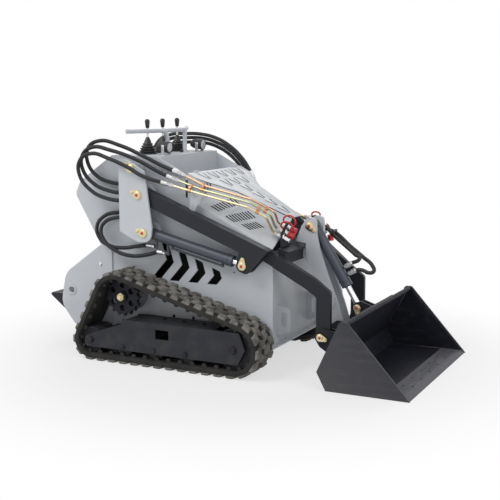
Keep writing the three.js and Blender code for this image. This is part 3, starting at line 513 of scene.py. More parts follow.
def sheet_paint(name, colour, wear, dust, specular=0.5):
    """Sprayed paint on steel plate: a fine orange peel, soft mottling, rubbed edges, a film of dust and painted
    shade in its inner corners.
    """
    f = Finish(name, colour, 0.42, coat=0.08 if specular > 0.4 else 0.0, specular=specular)
    mottle = f.noise(3.0, 3).over(0.35, 0.7)
    f.blend_colour(shade_of(colour, 0.9), mottle * 0.5)
    scuffs = f.noise(26, 5, (1.0, 1.0, 0.25), 0.7).over(0.62, 0.8)
    f.blend_colour(shade_of(colour, 1.18), scuffs * wear)
    streaks = f.noise(9, 4, (1.0, 1.0, 0.12)).over(0.55, 0.8)
    f.blend_colour(shade_of(colour, 0.82), streaks * (wear * 0.6))
    f.blend_colour(shade_of(colour, 1.35), f.edges() * wear)
    # painted shade: the paint darkened in its inner corners
    f.blend_colour(shade_of(colour, 0.62), f.hollow_shade() * 0.55)
    grime = (1 - f.height(0.05, 0.45)) * f.noise(14, 5).over(0.4, 0.75)
    f.blend_colour(DUST, (grime * 0.6 + f.upward() * f.noise(20, 4).over(0.35, 0.8) * 0.35) * dust)
    f.set("Roughness", 0.34 + f.noise(11, 4) * 0.22 + grime * 0.15)
    peel = f.noise(420, 2)
    return f.bump(peel, 0.05, 0.0006).bump(f.noise(7, 2), 0.05, 0.004).material


def tread_rubber(name, colour, dust, amount):
    """Moulded rubber, dusty with dry soil where it meets the ground, with a painted highlight of pale dust on its
    edges.
    """
    f = Finish(name, colour, 0.8, specular=0.25)
    patches = f.noise(13, 6, None, 0.68).over(0.42, 0.56)
    grains = f.noise(140, 3).over(0.4, 0.7)
    film = (patches * 0.75 + grains * 0.25) * amount
    f.blend_colour(shade_of(colour, 1.5), f.noise(40, 3).over(0.4, 0.8) * 0.4)
    f.blend_colour(dust, film)
    f.blend_colour(shade_of(dust, 0.5), f.noise(55, 4).over(0.58, 0.75) * amount * 0.6)
    # painted highlight: a paler dust colour on the outer edges
    f.blend_colour(shade_of(dust, 1.35), f.edges(0.52, 0.6) * amount * 0.5)
    f.set("Roughness", 0.7 + film * 0.22)
    return f.bump(grains, 0.35, 0.0015).bump(f.noise(30, 5), 0.4, 0.004).material


def hose_rubber(name, colour):
    f = Finish(name, colour, 0.5, specular=0.4)
    f.blend_colour(shade_of(colour, 2.2), f.noise(60, 4).over(0.5, 0.8) * 0.4)
    f.blend_colour(DUST, f.upward(0.5, 1.0) * f.noise(45, 3).over(0.45, 0.75) * 0.12)
    f.set("Roughness", 0.42 + f.noise(90, 3) * 0.25)
    return f.bump(f.noise(500, 2), 0.12, 0.0004).material


def plating(name, colour, second, roughness, mottle):
    """Bright metal, plated or polished, with faint stains and painted shade in its inner corners."""
    f = Finish(name, colour, roughness, metallic=1.0)
    f.blend_colour(second, f.noise(18, 4).over(0.35, 0.7) * mottle)
    # painted shade: the metal darkened in its inner corners
    f.blend_colour(shade_of(colour, 0.6), f.hollow_shade() * 0.5)
    f.set("Roughness", f.noise(45, 4) * 0.16 + (roughness - 0.06))
    return f.bump(f.noise(240, 2), 0.03, 0.0005).material


def cast_metal(name, colour):
    f = Finish(name, colour, 0.62, metallic=0.35)
    f.blend_colour(shade_of(colour, 0.7), f.noise(30, 5).over(0.4, 0.7) * 0.6)
    f.blend_colour(shade_of(colour, 1.5), f.edges() * 0.4)
    f.set("Roughness", 0.5 + f.noise(70, 3) * 0.3)
    return f.bump(f.noise(260, 3), 0.35, 0.001).material


def worn_plate(name, colour):
    """Steel plate whose paint the soil has rubbed thin."""
    f = Finish(name, colour, 0.45, specular=0.12)
    rubbed = f.noise(12, 6, (0.4, 3.0, 3.0), 0.7).over(0.5, 0.72)
    f.blend_colour(BARE_STEEL, rubbed * 0.06)
    f.blend_colour(BARE_STEEL, f.edges() * 0.3)
    f.blend_colour(DUST, f.noise(24, 5).over(0.5, 0.8) * 0.06)
    f.set("Roughness", 0.36 + f.noise(35, 4) * 0.26)
    f.set("Metallic", rubbed * 0.15)
    return f.bump(f.noise(90, 5, (0.5, 2.0, 2.0)), 0.12, 0.0010).material


def plastic(name, colour, roughness=0.45):
    f = Finish(name, colour, roughness)
    f.blend_colour(shade_of(colour, 1.4), f.noise(35, 4).over(0.45, 0.75) * 0.35)
    f.set("Roughness", f.noise(60, 3) * 0.2 + (roughness - 0.1))
    return f.bump(f.noise(650, 2), 0.1, 0.0004).material


def lamp_glass(name, colour):
    """A ribbed lens over a bright bowl."""
    f = Finish(name, colour, 0.1, metallic=0.3, coat=1.0)
    ribs = f.node("ShaderNodeTexWave", {"bands_direction": "Y"}, {"Vector": f.place, "Scale": 90.0})
    f.blend_colour(shade_of(colour, 0.6), Value(f, ribs.outputs[1]) * 0.5)
    f.set("Roughness", f.noise(30, 2) * 0.08 + 0.06)
    return f.bump(Value(f, ribs.outputs[1]), 0.3, 0.001).material


# ---------------------------------------------------------------- sizes and colours a user may change

def colour_property(name, description, default):
    return bpy.props.FloatVectorProperty(
        name=name, description=description, default=default, size=3, min=0, max=1, subtype="COLOR")


def length_property(name, description, default, low=0.0, high=1.0):
    return bpy.props.FloatProperty(
        name=name, description=description, default=default, min=low, max=high, unit="LENGTH", precision=4)


class LoaderColours(bpy.types.PropertyGroup):
    """The paints, rubbers and metals of the loader."""

    body: colour_property("Body paint", "Grey paint of the body, towers and hood", (0.62, 0.65, 0.69))
    arms: colour_property("Arm paint", "Charcoal paint of the arms and track frames", (0.024, 0.026, 0.033))
    bucket: colour_property("Bucket paint", "Black paint of the bucket and its hitch", (0.015, 0.016, 0.024))
    rubber: colour_property("Track rubber", "Rubber of the tracks", (0.020, 0.019, 0.019))
    dust: colour_property("Track dust", "Dry soil on the tread", (0.27, 0.255, 0.235))
    hose: colour_property("Hose rubber", "Rubber of the oil hoses", (0.022, 0.023, 0.026))
    zinc: colour_property("Yellow zinc", "Plating of the pin keepers and steel lines", (0.74, 0.62, 0.36))
    copper: colour_property("Copper", "Clamps of the steel lines", (0.62, 0.33, 0.20))
    chrome: colour_property("Chrome", "Rods, couplers and fittings", (0.80, 0.81, 0.83))
    red: colour_property("Red plastic", "Coupler caps and pin plugs", (0.58, 0.035, 0.045))
    black: colour_property("Black plastic", "Lever knobs, lamps and switches", (0.018, 0.018, 0.020))
    cast: colour_property("Bare castings", "Engine and drive housings", (0.30, 0.31, 0.33))


class LoaderSizes(bpy.types.PropertyGroup):
    """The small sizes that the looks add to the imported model."""

    edge: length_property("Plate edge", "Width of the rounding on plate edges", 0.0014, 0.0, 0.01)
    hose: length_property("Hose radius", "Outer radius of an oil hose", 0.011, 0.004, 0.03)
    hose_pitch: length_property(
        "Hose rib pitch", "Distance between the ribs of a hose's sleeve", 0.0085, 0.004, 0.03)
    line: length_property("Steel line radius", "Outer radius of a steel oil line", 0.0063, 0.003, 0.02)
    lug: length_property("Lug height", "Height of the track's lugs", 0.014, 0.0, 0.04)
    belt: length_property("Belt thickness", "Thickness of the track's belt", 0.026, 0.005, 0.04)
    pitch: length_property("Lug pitch", "Distance from one lug to the next", 0.072, 0.04, 0.12)
    keeper: length_property("Keeper radius", "Radius of a pin keeper's disc", 0.024, 0.01, 0.05)
    bolt: length_property("Bolt size", "Thread size of the frame bolts", 0.012, 0.004, 0.03)


FINISHES = {}


def make_finishes(colours):
    """Builds every material once."""
    FINISHES.update({
        "body_grey": sheet_paint("body_grey_paint", colours.body, 0.16, 0.35),
        "charcoal_paint": sheet_paint("charcoal_paint", colours.arms, 0.4, 0.15, 0.25),
        "black_paint": sheet_paint("black_paint", colours.bucket, 0.4, 0.2, 0.2),
        "bucket_paint": worn_plate("bucket_paint", colours.bucket),
        "edge_steel": worn_plate("edge_steel", shade_of(colours.bucket, 2.2)),
        # the belt has less dust than the lugs, and its dust colour is halved as painted shade
        "track_rubber": tread_rubber("belt_rubber", colours.rubber, shade_of(colours.dust, 0.5), 0.12),
        "tread_rubber": tread_rubber("lug_rubber", colours.rubber, colours.dust, 0.85),
        "hose_rubber": hose_rubber("hose_rubber", colours.hose),
        "chrome": plating("chrome", colours.chrome, shade_of(colours.chrome, 0.85), 0.12, 0.4),
        "white_zinc": plating("white_zinc", shade_of(colours.chrome, 0.85), (0.62, 0.62, 0.58), 0.3, 0.6),
        "yellow_zinc": plating("yellow_zinc", colours.zinc, (0.66, 0.60, 0.45), 0.3, 0.7),
        "green_zinc": plating("green_zinc", (0.52, 0.53, 0.30), (0.46, 0.47, 0.34), 0.3, 0.7),
        "copper_zinc": plating("copper_zinc", (0.66, 0.42, 0.26), (0.56, 0.42, 0.32), 0.3, 0.7),
        "copper": plating("copper", colours.copper, shade_of(colours.copper, 0.7), 0.34, 0.6),
        "red_plastic": plastic("red_plastic", colours.red, 0.35),
        "black_plastic": plastic("black_plastic", colours.black, 0.42),
        "engine_grey": cast_metal("cast_metal", colours.cast),
        "lamp_glass": lamp_glass("lamp_glass", (0.55, 0.56, 0.58)),
        "barrel_paint": sheet_paint("barrel_paint", (0.050, 0.058, 0.076), 0.7, 0.25),
        # painted shade: the engine block near-black, for the dark inside of the body
        "engine_shade_black": cast_metal("engine_shade_black", (0.010, 0.010, 0.011)),
        # painted shade: near-black for the walls inside the hood's slots
        "painted_slot_shade": plastic("painted_slot_shade", (0.010, 0.010, 0.011), 0.8),
    })


def place_piece(obj, body, finish, stands_for=()):
    """Gives a piece its finish and its body."""
    paint(obj, FINISHES[finish])
    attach(obj, body)
    if stands_for:
        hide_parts(*stands_for)
    return obj


def assemble(name, shapes, body, finish, stands_for=(), angle=35):
    """Joins shapes into one piece and gives it its shading, finish and body."""
    return place_piece(soften(joined(name, shapes), angle), body, finish, stands_for)


def sizes():
    return bpy.context.scene.loader_sizes


# ---------------------------------------------------------------- operators

class LOADER_OT_dress(bpy.types.Operator):
    """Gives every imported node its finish, with rounded plate edges"""

    bl_idname = "loader.dress"
    bl_label = "Finish the packed nodes"

    SPECIAL = {
        "bucket_shell": "bucket_paint",
        "bucket_cutting_edge": "edge_steel",
        # the engine block gets painted shade
        "engine_block": "engine_shade_black",
        "lift_cylinder_barrel_left": "barrel_paint",
        "lift_cylinder_barrel_right": "barrel_paint",
        "tilt_cylinder_barrel": "barrel_paint",
        "track_left": "track_rubber",
        "track_right": "track_rubber",
    }

    def execute(self, context):
        make_finishes(context.scene.loader_colours)
        slots = {part["node"]: part["material_slot"] for part in frame["record"]["subparts"]}
        for name, obj in frame["nodes"].items():
            finish = self.SPECIAL.get(name, slots[name])
            for slot in obj.material_slots:
                slot.material = FINISHES[finish]
            weld = obj.modifiers.new("Weld", "WELD")
            weld.merge_threshold = 0.00001
            flat = obj.modifiers.new("Planar", "DECIMATE")
            flat.decimate_type = "DISSOLVE"
            flat.angle_limit = math.radians(0.6)
            bevel = obj.modifiers.new("Bevel", "BEVEL")
            bevel.width = context.scene.loader_sizes.edge
            bevel.segments = 2
            bevel.limit_method = "ANGLE"
            bevel.angle_limit = math.radians(33)
            bevel.miter_outer = "MITER_ARC"
            split = obj.modifiers.new("Split", "EDGE_SPLIT")
            split.split_angle = math.radians(40)
            normals = obj.modifiers.new("Normals", "WEIGHTED_NORMAL")
            normals.weight = 60
            obj.data.shade_smooth()
        return {"FINISHED"}


class LOADER_OT_stage(bpy.types.Operator):
    """A pale floor, soft studio light and the camera"""

    bl_idname = "loader.stage"
    bl_label = "Stage, light and camera"

    CAMERA = ((2.453, -4.846, 1.4246), 26.58, 8.857, -0.226)  # place, then turn, fall and roll in degrees
    LENS = 71.37
    SENSOR = 36.0
    WORLD_LIGHT = 0.40
    FLOOR_COLOUR = (0.86, 0.86, 0.86, 1)
    LAMPS = (  # name, place, aim, size, watts
        ("key", (-2.6, -3.6, 5.2), (0.0, 0.0, 0.5), 3.2, 150),
        ("fill", (4.6, -2.6, 3.2), (0.2, 0.0, 0.4), 3.0, 55),
        ("back", (-1.5, 4.4, 4.6), (0.0, 0.0, 0.6), 3.0, 60),
    )

    def camera(self, context):
        place, turn, fall, roll = self.CAMERA
        data = bpy.data.cameras.new("camera")
        data.lens = self.LENS
        data.sensor_width = self.SENSOR
        data.clip_end = 200
        obj = bpy.data.objects.new("camera", data)
        context.scene.collection.objects.link(obj)
        sideways = Matrix.Rotation(math.radians(turn), 4, "Z")
        level = Matrix.Rotation(math.radians(90 - fall), 4, "X")
        tipped = Matrix.Rotation(math.radians(roll), 4, "Z")
        obj.matrix_world = Matrix.Translation(place) @ (sideways @ level) @ tipped
        context.scene.camera = obj

    def lamps(self, context):
        for name, place, aim, size, watts in self.LAMPS:
            data = bpy.data.lights.new(name, "AREA")
            data.shape = "DISK"
            data.size = size
            data.energy = watts
            obj = bpy.data.objects.new(name, data)
            context.scene.collection.objects.link(obj)
            direction = Vector(aim) - Vector(place)
            turn = direction.to_track_quat("-Z", "Y").to_matrix().to_4x4()
            obj.matrix_world = Matrix.Translation(place) @ turn

    def seen_straight(self, tree):
        """1 where the backdrop is seen by the camera, in a reflection or through glass."""
        path = add_node(tree, "ShaderNodeLightPath")
        total = path.outputs["Is Camera Ray"]
        for ray in ("Is Glossy Ray", "Is Transmission Ray"):
            most = add_node(tree, "ShaderNodeMath", {"operation": "MAXIMUM"}, {
                0: total, 1: path.outputs[ray]})
            total = most.outputs[0]
        return total

    def world(self, context):
        world = bpy.data.worlds.new("studio")
        context.scene.world = world
        tree = new_tree(world)
        strength = add_node(tree, "ShaderNodeMapRange", {}, {
            "Value": self.seen_straight(tree), "To Min": self.WORLD_LIGHT, "To Max": 1.0})
        background = add_node(tree, "ShaderNodeBackground", {}, {
            "Color": (1, 1, 1, 1), "Strength": strength.outputs[0]})
        add_node(tree, "ShaderNodeOutputWorld", {}, {"Surface": background.outputs[0]})

    def floor(self):
        pick()
        bpy.ops.mesh.primitive_circle_add(vertices=96, radius=2.2, fill_type="NGON", location=(0, 0, -0.0006))
        obj = bpy.context.object
        obj.name = "floor"
        bpy.ops.object.mode_set(mode="EDIT")
        bpy.ops.mesh.select_mode(type="EDGE")
        bpy.ops.mesh.select_all(action="SELECT")
        bpy.ops.mesh.region_to_loop()
        for factor in (2.0, 6.0):
            bpy.ops.mesh.extrude_region_move()
            bpy.ops.transform.resize(value=(factor, factor, 1), center_override=(0, 0, 0))
        bpy.ops.object.mode_set(mode="OBJECT")
        settle(obj)
        material = bpy.data.materials.new("floor")
        tree = new_tree(material)
        seen = self.seen_straight(tree)
        diffuse = add_node(tree, "ShaderNodeBsdfDiffuse", {}, {"Color": self.FLOOR_COLOUR})
        white = add_node(tree, "ShaderNodeEmission", {}, {"Strength": 1.0})
        place = add_node(tree, "ShaderNodeTexCoord").outputs["Object"]
        away = add_node(tree, "ShaderNodeVectorMath", {"operation": "LENGTH"}, {0: place}).outputs["Value"]
        fade = add_node(tree, "ShaderNodeMapRange", {"interpolation_type": "SMOOTHSTEP"}, {
            "Value": away, "From Min": 0.9, "From Max": 2.0, "To Min": 0.62, "To Max": 1.0})
        share = add_node(tree, "ShaderNodeMath", {"operation": "MULTIPLY"}, {0: fade.outputs[0], 1: seen})
        mix = add_node(tree, "ShaderNodeMixShader", {}, {
            0: share.outputs[0], 1: diffuse.outputs[0], 2: white.outputs[0]})
        add_node(tree, "ShaderNodeOutputMaterial", {}, {"Surface": mix.outputs[0]})
        paint(obj, material)

    def execute(self, context):
        context.scene.view_settings.view_transform = "Standard"
        self.camera(context)
        self.lamps(context)
        self.world(context)
        self.floor()
        return {"FINISHED"}


class LOADER_OT_tracks(bpy.types.Operator):
    """Two rubber tracks: a belt, staggered tread blocks and guide teeth, one pitch repeated round the loop"""

    bl_idname = "loader.tracks"
    bl_label = "Tracks"

    COLUMNS = 4
    ARC_STEP = math.radians(6)
    WHEEL_GAP = 0.0009

    def loop(self, belt_out):
        """The belt's outer line round the three wheels, as places and its length.

        belt_out is the lugs' height and the belt's thickness together.
        """
        def wheel(node):
            low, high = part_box(node)
            centre = Vector(((low.x + high.x) / 2, (low.z + high.z) / 2))
            return centre, (high.x - low.x) / 2 + self.WHEEL_GAP
        front, front_radius = wheel("front_idler_left")
        rear, rear_radius = wheel("rear_idler_left")
        drive = wheel("drive_sprocket_left")[0]
        drive_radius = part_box("track_left")[1].z - drive.y - belt_out
        belt = sizes().belt
        wheels = [(rear, rear_radius + belt), (front, front_radius + belt), (drive, drive_radius + belt)]
        places = []
        for i, (centre, radius) in enumerate(wheels):
            before, after = wheels[i - 1], wheels[(i + 1) % 3]
            start = self.tangent_turn(before, (centre, radius))
            end = self.tangent_turn((centre, radius), after)
            if end < start:
                end += 2 * math.pi
            steps = max(2, math.ceil((end - start) / self.ARC_STEP))
            for k in range(steps + 1):
                turn = start + (end - start) * k / steps
                places.append(centre + radius * Vector((math.cos(turn), math.sin(turn))))
        length = sum((places[i] - places[i - 1]).length for i in range(len(places)))
        return places, length

    @staticmethod
    def tangent_turn(first, second):
        """The turn at which the outer line between two wheels touches both, going anticlockwise."""
        apart = second[0] - first[0]
        lean = math.asin((first[1] - second[1]) / apart.length)
        return math.atan2(apart.y, apart.x) - math.pi / 2 + lean

    def belt(self, pitch, width, belt):
        """One pitch of plain belt, open at both ends."""
        obj = slab("belt", (0, -belt, -width / 2), (pitch, 0, width / 2))
        edit(obj, faces=lambda face: abs(face.normal.x) > 0.9)
        bpy.ops.mesh.delete(type="FACE")
        for share in (0.33, 0.67):
            bpy.ops.mesh.select_all(action="SELECT")
            bpy.ops.mesh.bisect(plane_co=(share * pitch, 0, 0), plane_no=(1, 0, 0))
        close()
        return round_edges(obj, 0.004, 2)

    def block(self, middle_x, across, wide, length, high, lean, outer):
        """One tread block: a slanted bar with sloping walls and a rounded top."""
        obj = slab("block", (middle_x - length / 2, -0.002, across - wide / 2),
                   (middle_x + length / 2, high, across + wide / 2))
        edit(obj, points=lambda point: point.co.y > high / 2)
        bpy.ops.transform.resize(value=(0.72, 1, 0.9), center_override=(middle_x, high, across))
        for end in (1, -1):
            close()
            edit(obj, points=lambda point: (point.co.z - across) * end > 0)
            bpy.ops.transform.translate(value=(lean * end, 0, 0))
        close()
        round_edges(obj, 0.0045 if outer else 0.0035, 2)
        return obj

    def guide(self, pitch, across, deep):
        """A tooth on the inside of the belt that keeps it on its wheels."""
        obj = slab("guide", (pitch * 0.28, -sizes().belt - deep, across - 0.0075),
                   (pitch * 0.72, -sizes().belt + 0.003, across + 0.0075))
        edit(obj, points=lambda point: point.co.y < -sizes().belt)
        bpy.ops.transform.resize(value=(0.55, 1, 0.7), center_override=(pitch / 2, 0, across))
        close()
        return round_edges(obj, 0.002, 1)

    def wrap(self, obj, line, count, pitch, merge):
        """Repeats one pitch round the loop."""
        apply(obj, "ARRAY", count=count, use_relative_offset=False, use_constant_offset=True,
              constant_offset_displace=(pitch, 0, 0), use_merge_vertices=merge, merge_threshold=0.0001)
        apply(obj, "CURVE", object=line, deform_axis="POS_X")
        if merge:
            apply(obj, "WELD", merge_threshold=0.0004)
        return obj

    def execute(self, context):
        given = context.scene.loader_sizes
        low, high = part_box("track_left")
        width = high.y - low.y
        across = (high.y + low.y) / 2
        places, length = self.loop(given.lug + given.belt)
        count = round(length / given.pitch)
        pitch = length / count
        line = poly_line("loop", [places], closed=True, flat=True)
        belt = self.belt(pitch, width, given.belt)
        blocks = []
        wide = width / self.COLUMNS
        for column in range(self.COLUMNS):
            offset = (column + 0.5) * wide - width / 2
            staggered = column % 2
            lean = 0.007 if staggered else -0.007
            outer = column in (0, self.COLUMNS - 1)
            share = 0.25 + 0.5 * staggered
            blocks.append(self.block(
                share * pitch, offset, wide * 0.99, pitch * 0.70, given.lug, lean, outer))
        tread = joined("tread", blocks)
        tooth = self.guide(pitch, 0.026 - width / 2, 0.018)
        self.wrap(belt, line, count, pitch, True)
        self.wrap(tread, line, count, pitch, False)
        self.wrap(tooth, line, count, pitch, False)
        upright = Matrix.Translation((0, across, 0)) @ Matrix.Rotation(math.radians(90), 4, "X")
        for obj in (belt, tread, tooth):
            obj.data.transform(upright)
            soften(obj, 40)
        for hand, side in SIDES.items():
            place = Matrix.Diagonal((1, side, 1, 1)) if side < 0 else Matrix.Identity(4)
            teeth = duplicate(tooth, f"track_guides_{hand}", place)
            band = duplicate(belt, f"track_belt_{hand}", place)
            lugs = duplicate(tread, f"track_tread_{hand}", place)
            place_piece(band, "chassis", "track_rubber", stands_for=[f"track_{hand}"])
            place_piece(lugs, "chassis", "tread_rubber")
            place_piece(teeth, "chassis", "track_rubber")
        remove(belt, tread, tooth, line)
        return {"FINISHED"}


def mirror_places(places, side):
    return [(x, y * side, z) for x, y, z in places]


def metres(places):
    return [tuple(v / 1000 for v in place) for place in places]


class LOADER_OT_hoses(bpy.types.Operator):
    """The rubber oil hoses in their ribbed sleeves, with crimped fittings on the ends that show"""

    bl_idname = "loader.hoses"
    bl_label = "Hoses and fittings"

    LIFT = {
        "right": [metres(route) for route in (
            ((-534, 349, 954), (-632, 349, 957), (-736, 356, 996), (-780, 372, 1070), (-762, 388, 1146),
             (-684, 390, 1186), (-560, 384, 1164), (-410, 366, 1104), (-300, 345, 1052), (-222, 338, 1024)),
            ((-534, 373, 905), (-636, 373, 914), (-744, 380, 956), (-798, 396, 1034), (-784, 412, 1106),
             (-712, 422, 1152), (-590, 430, 1140), (-440, 402, 1090), (-320, 372, 1026), (-248, 358, 995)),
            ((-534, 394, 867), (-636, 394, 874), (-744, 402, 918), (-802, 420, 1002), (-784, 436, 1080),
             (-702, 446, 1120), (-590, 448, 1097), (-460, 446, 1048), (-376, 436, 1005), (-270, 380, 967)),
        )],
        "left": [metres(route) for route in (
            ((-534, 349, 954), (-640, 349, 955), (-760, 356, 990), (-818, 372, 1070), (-790, 385, 1150),
             (-700, 385, 1192), (-590, 378, 1199), (-490, 372, 1198), (-390, 368, 1180), (-290, 364, 1135),
             (-200, 358, 1062), (-150, 350, 1000), (-120, 339.5, 958)),
            ((-534, 373, 905), (-640, 373, 912), (-770, 380, 950), (-836, 396, 1030), (-815, 410, 1110),
             (-729, 414, 1162), (-600, 402, 1173), (-490, 396, 1172), (-395, 392, 1152), (-300, 388, 1108),
             (-218, 380, 1040), (-168, 370, 975), (-138, 360, 933)),
            ((-534, 394, 867), (-640, 394, 872), (-770, 402, 912), (-840, 420, 1000), (-815, 432, 1085),
             (-716, 436, 1134), (-600, 428, 1146), (-490, 422, 1144), (-400, 418, 1123), (-312, 412, 1078),
             (-238, 404, 1012), (-188, 392, 948), (-158, 379, 905)),
        )],
    }
    CYLINDER = [metres(route) for route in (
        ((-534, 345, 797), (-600, 350, 796), (-692, 358, 770), (-733, 366, 712), (-712, 370, 648),
         (-650, 370, 612), (-560, 370, 606), (-470, 370, 620), (-396, 370, 630), (-372.6, 370, 628)),
        ((-534, 374, 774), (-600, 376, 770), (-668, 380, 744), (-694, 384, 700), (-672, 386, 640),
         (-600, 386, 590), (-500, 384, 568), (-400, 376, 580), (-330, 370, 598), (-306.6, 370, 596)),
    )]
    TILT_ENDS = (((0.176, 0.744), 0.276, ((470, 125, 678), (560, 80, 628), (632, 40, 590), (668, 8, 575))),
                 ((0.207, 0.722), 0.318, ((480, 150, 682), (580, 105, 622), (665, 70, 575), (730, 40, 535),
                                          (742, 22, 510), (722, 6, 504), (685, 0, 517))))
    TILT_DIRECTION = Vector((0.523, 0, -0.853))
    TILT_SIDE = Vector((0.853, 0, 0.523))
    PORT_REACH = 0.0526

    def sleeve(self, name, places, radius):
        """A ribbed hose along a smooth line."""
        line = smooth_line("route", places)
        pitch = sizes().hose_pitch
        probe = line.to_mesh()
        stops = [vertex.co for vertex in probe.vertices]
        length = sum((after - before).length for before, after in zip(stops, stops[1:]))
        line.to_mesh_clear()
        count = max(4, round(length / pitch))
        pitch = length / count
        pick()
        bpy.ops.mesh.primitive_circle_add(vertices=12, radius=radius * 0.86)
        rib = bpy.context.object
        rib.name = name
        edit(rib, everything=True)
        for along, factor in ((0.22, 1 / 0.86), (0.36, 1.0), (0.22, 0.86)):
            bpy.ops.mesh.extrude_region_move(TRANSFORM_OT_translate={"value": (0, 0, along * pitch)})
            bpy.ops.transform.resize(value=(factor, factor, 1), center_override=(0, 0, 0))
        bpy.ops.mesh.extrude_region_move(TRANSFORM_OT_translate={"value": (0, 0, 0.2 * pitch)})
        close()
        rib.data.transform(Matrix.Rotation(math.radians(90), 4, "Y"))
        apply(rib, "ARRAY", count=count, use_relative_offset=False, use_constant_offset=True,
              constant_offset_displace=(pitch, 0, 0), use_merge_vertices=True, merge_threshold=0.0001)
        edit(rib, everything=True)
        bpy.ops.mesh.normals_make_consistent(inside=False)
        close()
        apply(rib, "CURVE", object=line, deform_axis="POS_X")
        edit(rib, everything=True)
        bpy.ops.mesh.select_all(action="DESELECT")
        bpy.ops.mesh.select_non_manifold()
        bpy.ops.mesh.fill_holes(sides=0)
        bpy.ops.mesh.select_all(action="SELECT")
        bpy.ops.mesh.normals_make_consistent(inside=False)
        close()
        remove(line)
        return soften(rib, 60)

    def fitting(self, name, place, inward, radius):
        """A crimped ferrule over the hose's end, a hexagon nut and a nipple, going inward along the hose."""
        inward = Vector(inward).normalized()
        rings = [(0, radius * 1.02)]
        for i in range(4):
            at = 0.004 + i * 0.007
            rings += [(at, radius * 1.2), (at + 0.004, radius * 1.2), (at + 0.0045, radius * 1.08)]
        rings += [(0.034, radius * 1.08), (0.036, radius * 0.9)]
        ferrule = turned("ferrule", rings, place, inward, 20)
        nut = turned("nut", [(-0.014, radius * 1.0), (-0.013, radius * 1.12), (-0.002, radius * 1.12),
                             (-0.001, radius)], place, inward, 6)
        nipple = turned("nipple", [(-0.024, radius * 0.62), (-0.010, radius * 0.62)], place, inward, 16)
        return soften(joined(name, [ferrule, nut, nipple]), 35)

    def run(self, name, places, bodies, span, slot_nodes, ends):
        """One hose between two bodies, with a fitting on each of its ends that shows."""
        radius = sizes().hose
        hose = self.sleeve(name, places, radius)
        paint(hose, FINISHES["hose_rubber"])
        if slot_nodes:
            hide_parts(*slot_nodes)
        for end, body in ends:
            first, second = (places[0], places[1]) if end == 0 else (places[-1], places[-2])
            inward = Vector(second) - Vector(first)
            part = self.fitting(f"{name}_fitting_{'start' if end == 0 else 'end'}", first, inward, radius)
            place_piece(part, body, "white_zinc")
        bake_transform(hose)
        return hose

    def execute(self, context):
        for hand, side in SIDES.items():
            for i, route in enumerate(self.LIFT[hand]):
                places = mirror_places(route, side)
                self.run(f"lift_hose_{hand}_{i + 1}", places, ("chassis", "loader_arms"),
                         ((-0.62, 0, 1.0), (-0.30, 0, 1.06)),
                         [f"lift_hoses_{hand}"], [(1, "loader_arms")])
            for i, route in enumerate(self.CYLINDER):
                places = mirror_places(route, side)
                self.run(f"cylinder_hose_{hand}_{i + 1}", places, ("chassis", f"lift_barrel_{hand}"),
                         ((-0.58, 0, 0.77), (-0.50, 0, 0.62)),
                         [f"cylinder_hoses_{hand}"], [(1, f"lift_barrel_{hand}")])
        for i, ((across, height), along, between) in enumerate(self.TILT_ENDS):
            start = [(COUPLER_X + ahead, across, height - ahead * COUPLER_FALL) for ahead in (0.0426, 0.066)]
            port = TILT_BASE + self.TILT_DIRECTION * along
            finish = [tuple(port + self.TILT_SIDE * reach) for reach in (0.080, self.PORT_REACH)]
            places = start + metres(between) + finish
            self.run(f"tilt_hose_{i + 1}", places, ("loader_arms", "tilt_barrel"),
                     (start[1], finish[1]), ["tilt_hoses"], [(0, "loader_arms"), (1, "tilt_barrel")])
        tie = slab("tilt_hose_tie", (0.468, 0.112, 0.664), (0.480, 0.168, 0.704), 0.004)
        place_piece(tie, "loader_arms", "black_plastic", ["tilt_hoses"])
        for hand, side in SIDES.items():
            for name, bottom, top, inner, outer in (
                ("lift_hose_clamp", 0.850, 0.970, 0.3203, 0.4078),
                ("cylinder_hose_clamp", 0.758, 0.812, 0.3203, 0.392),
            ):
                near, far = sorted((inner * side, outer * side))
                block = slab(f"{name}_{hand}", (-0.545, near, bottom), (-0.533, far, top), 0.002)
                place_piece(block, "chassis", "black_plastic")
        return {"FINISHED"}


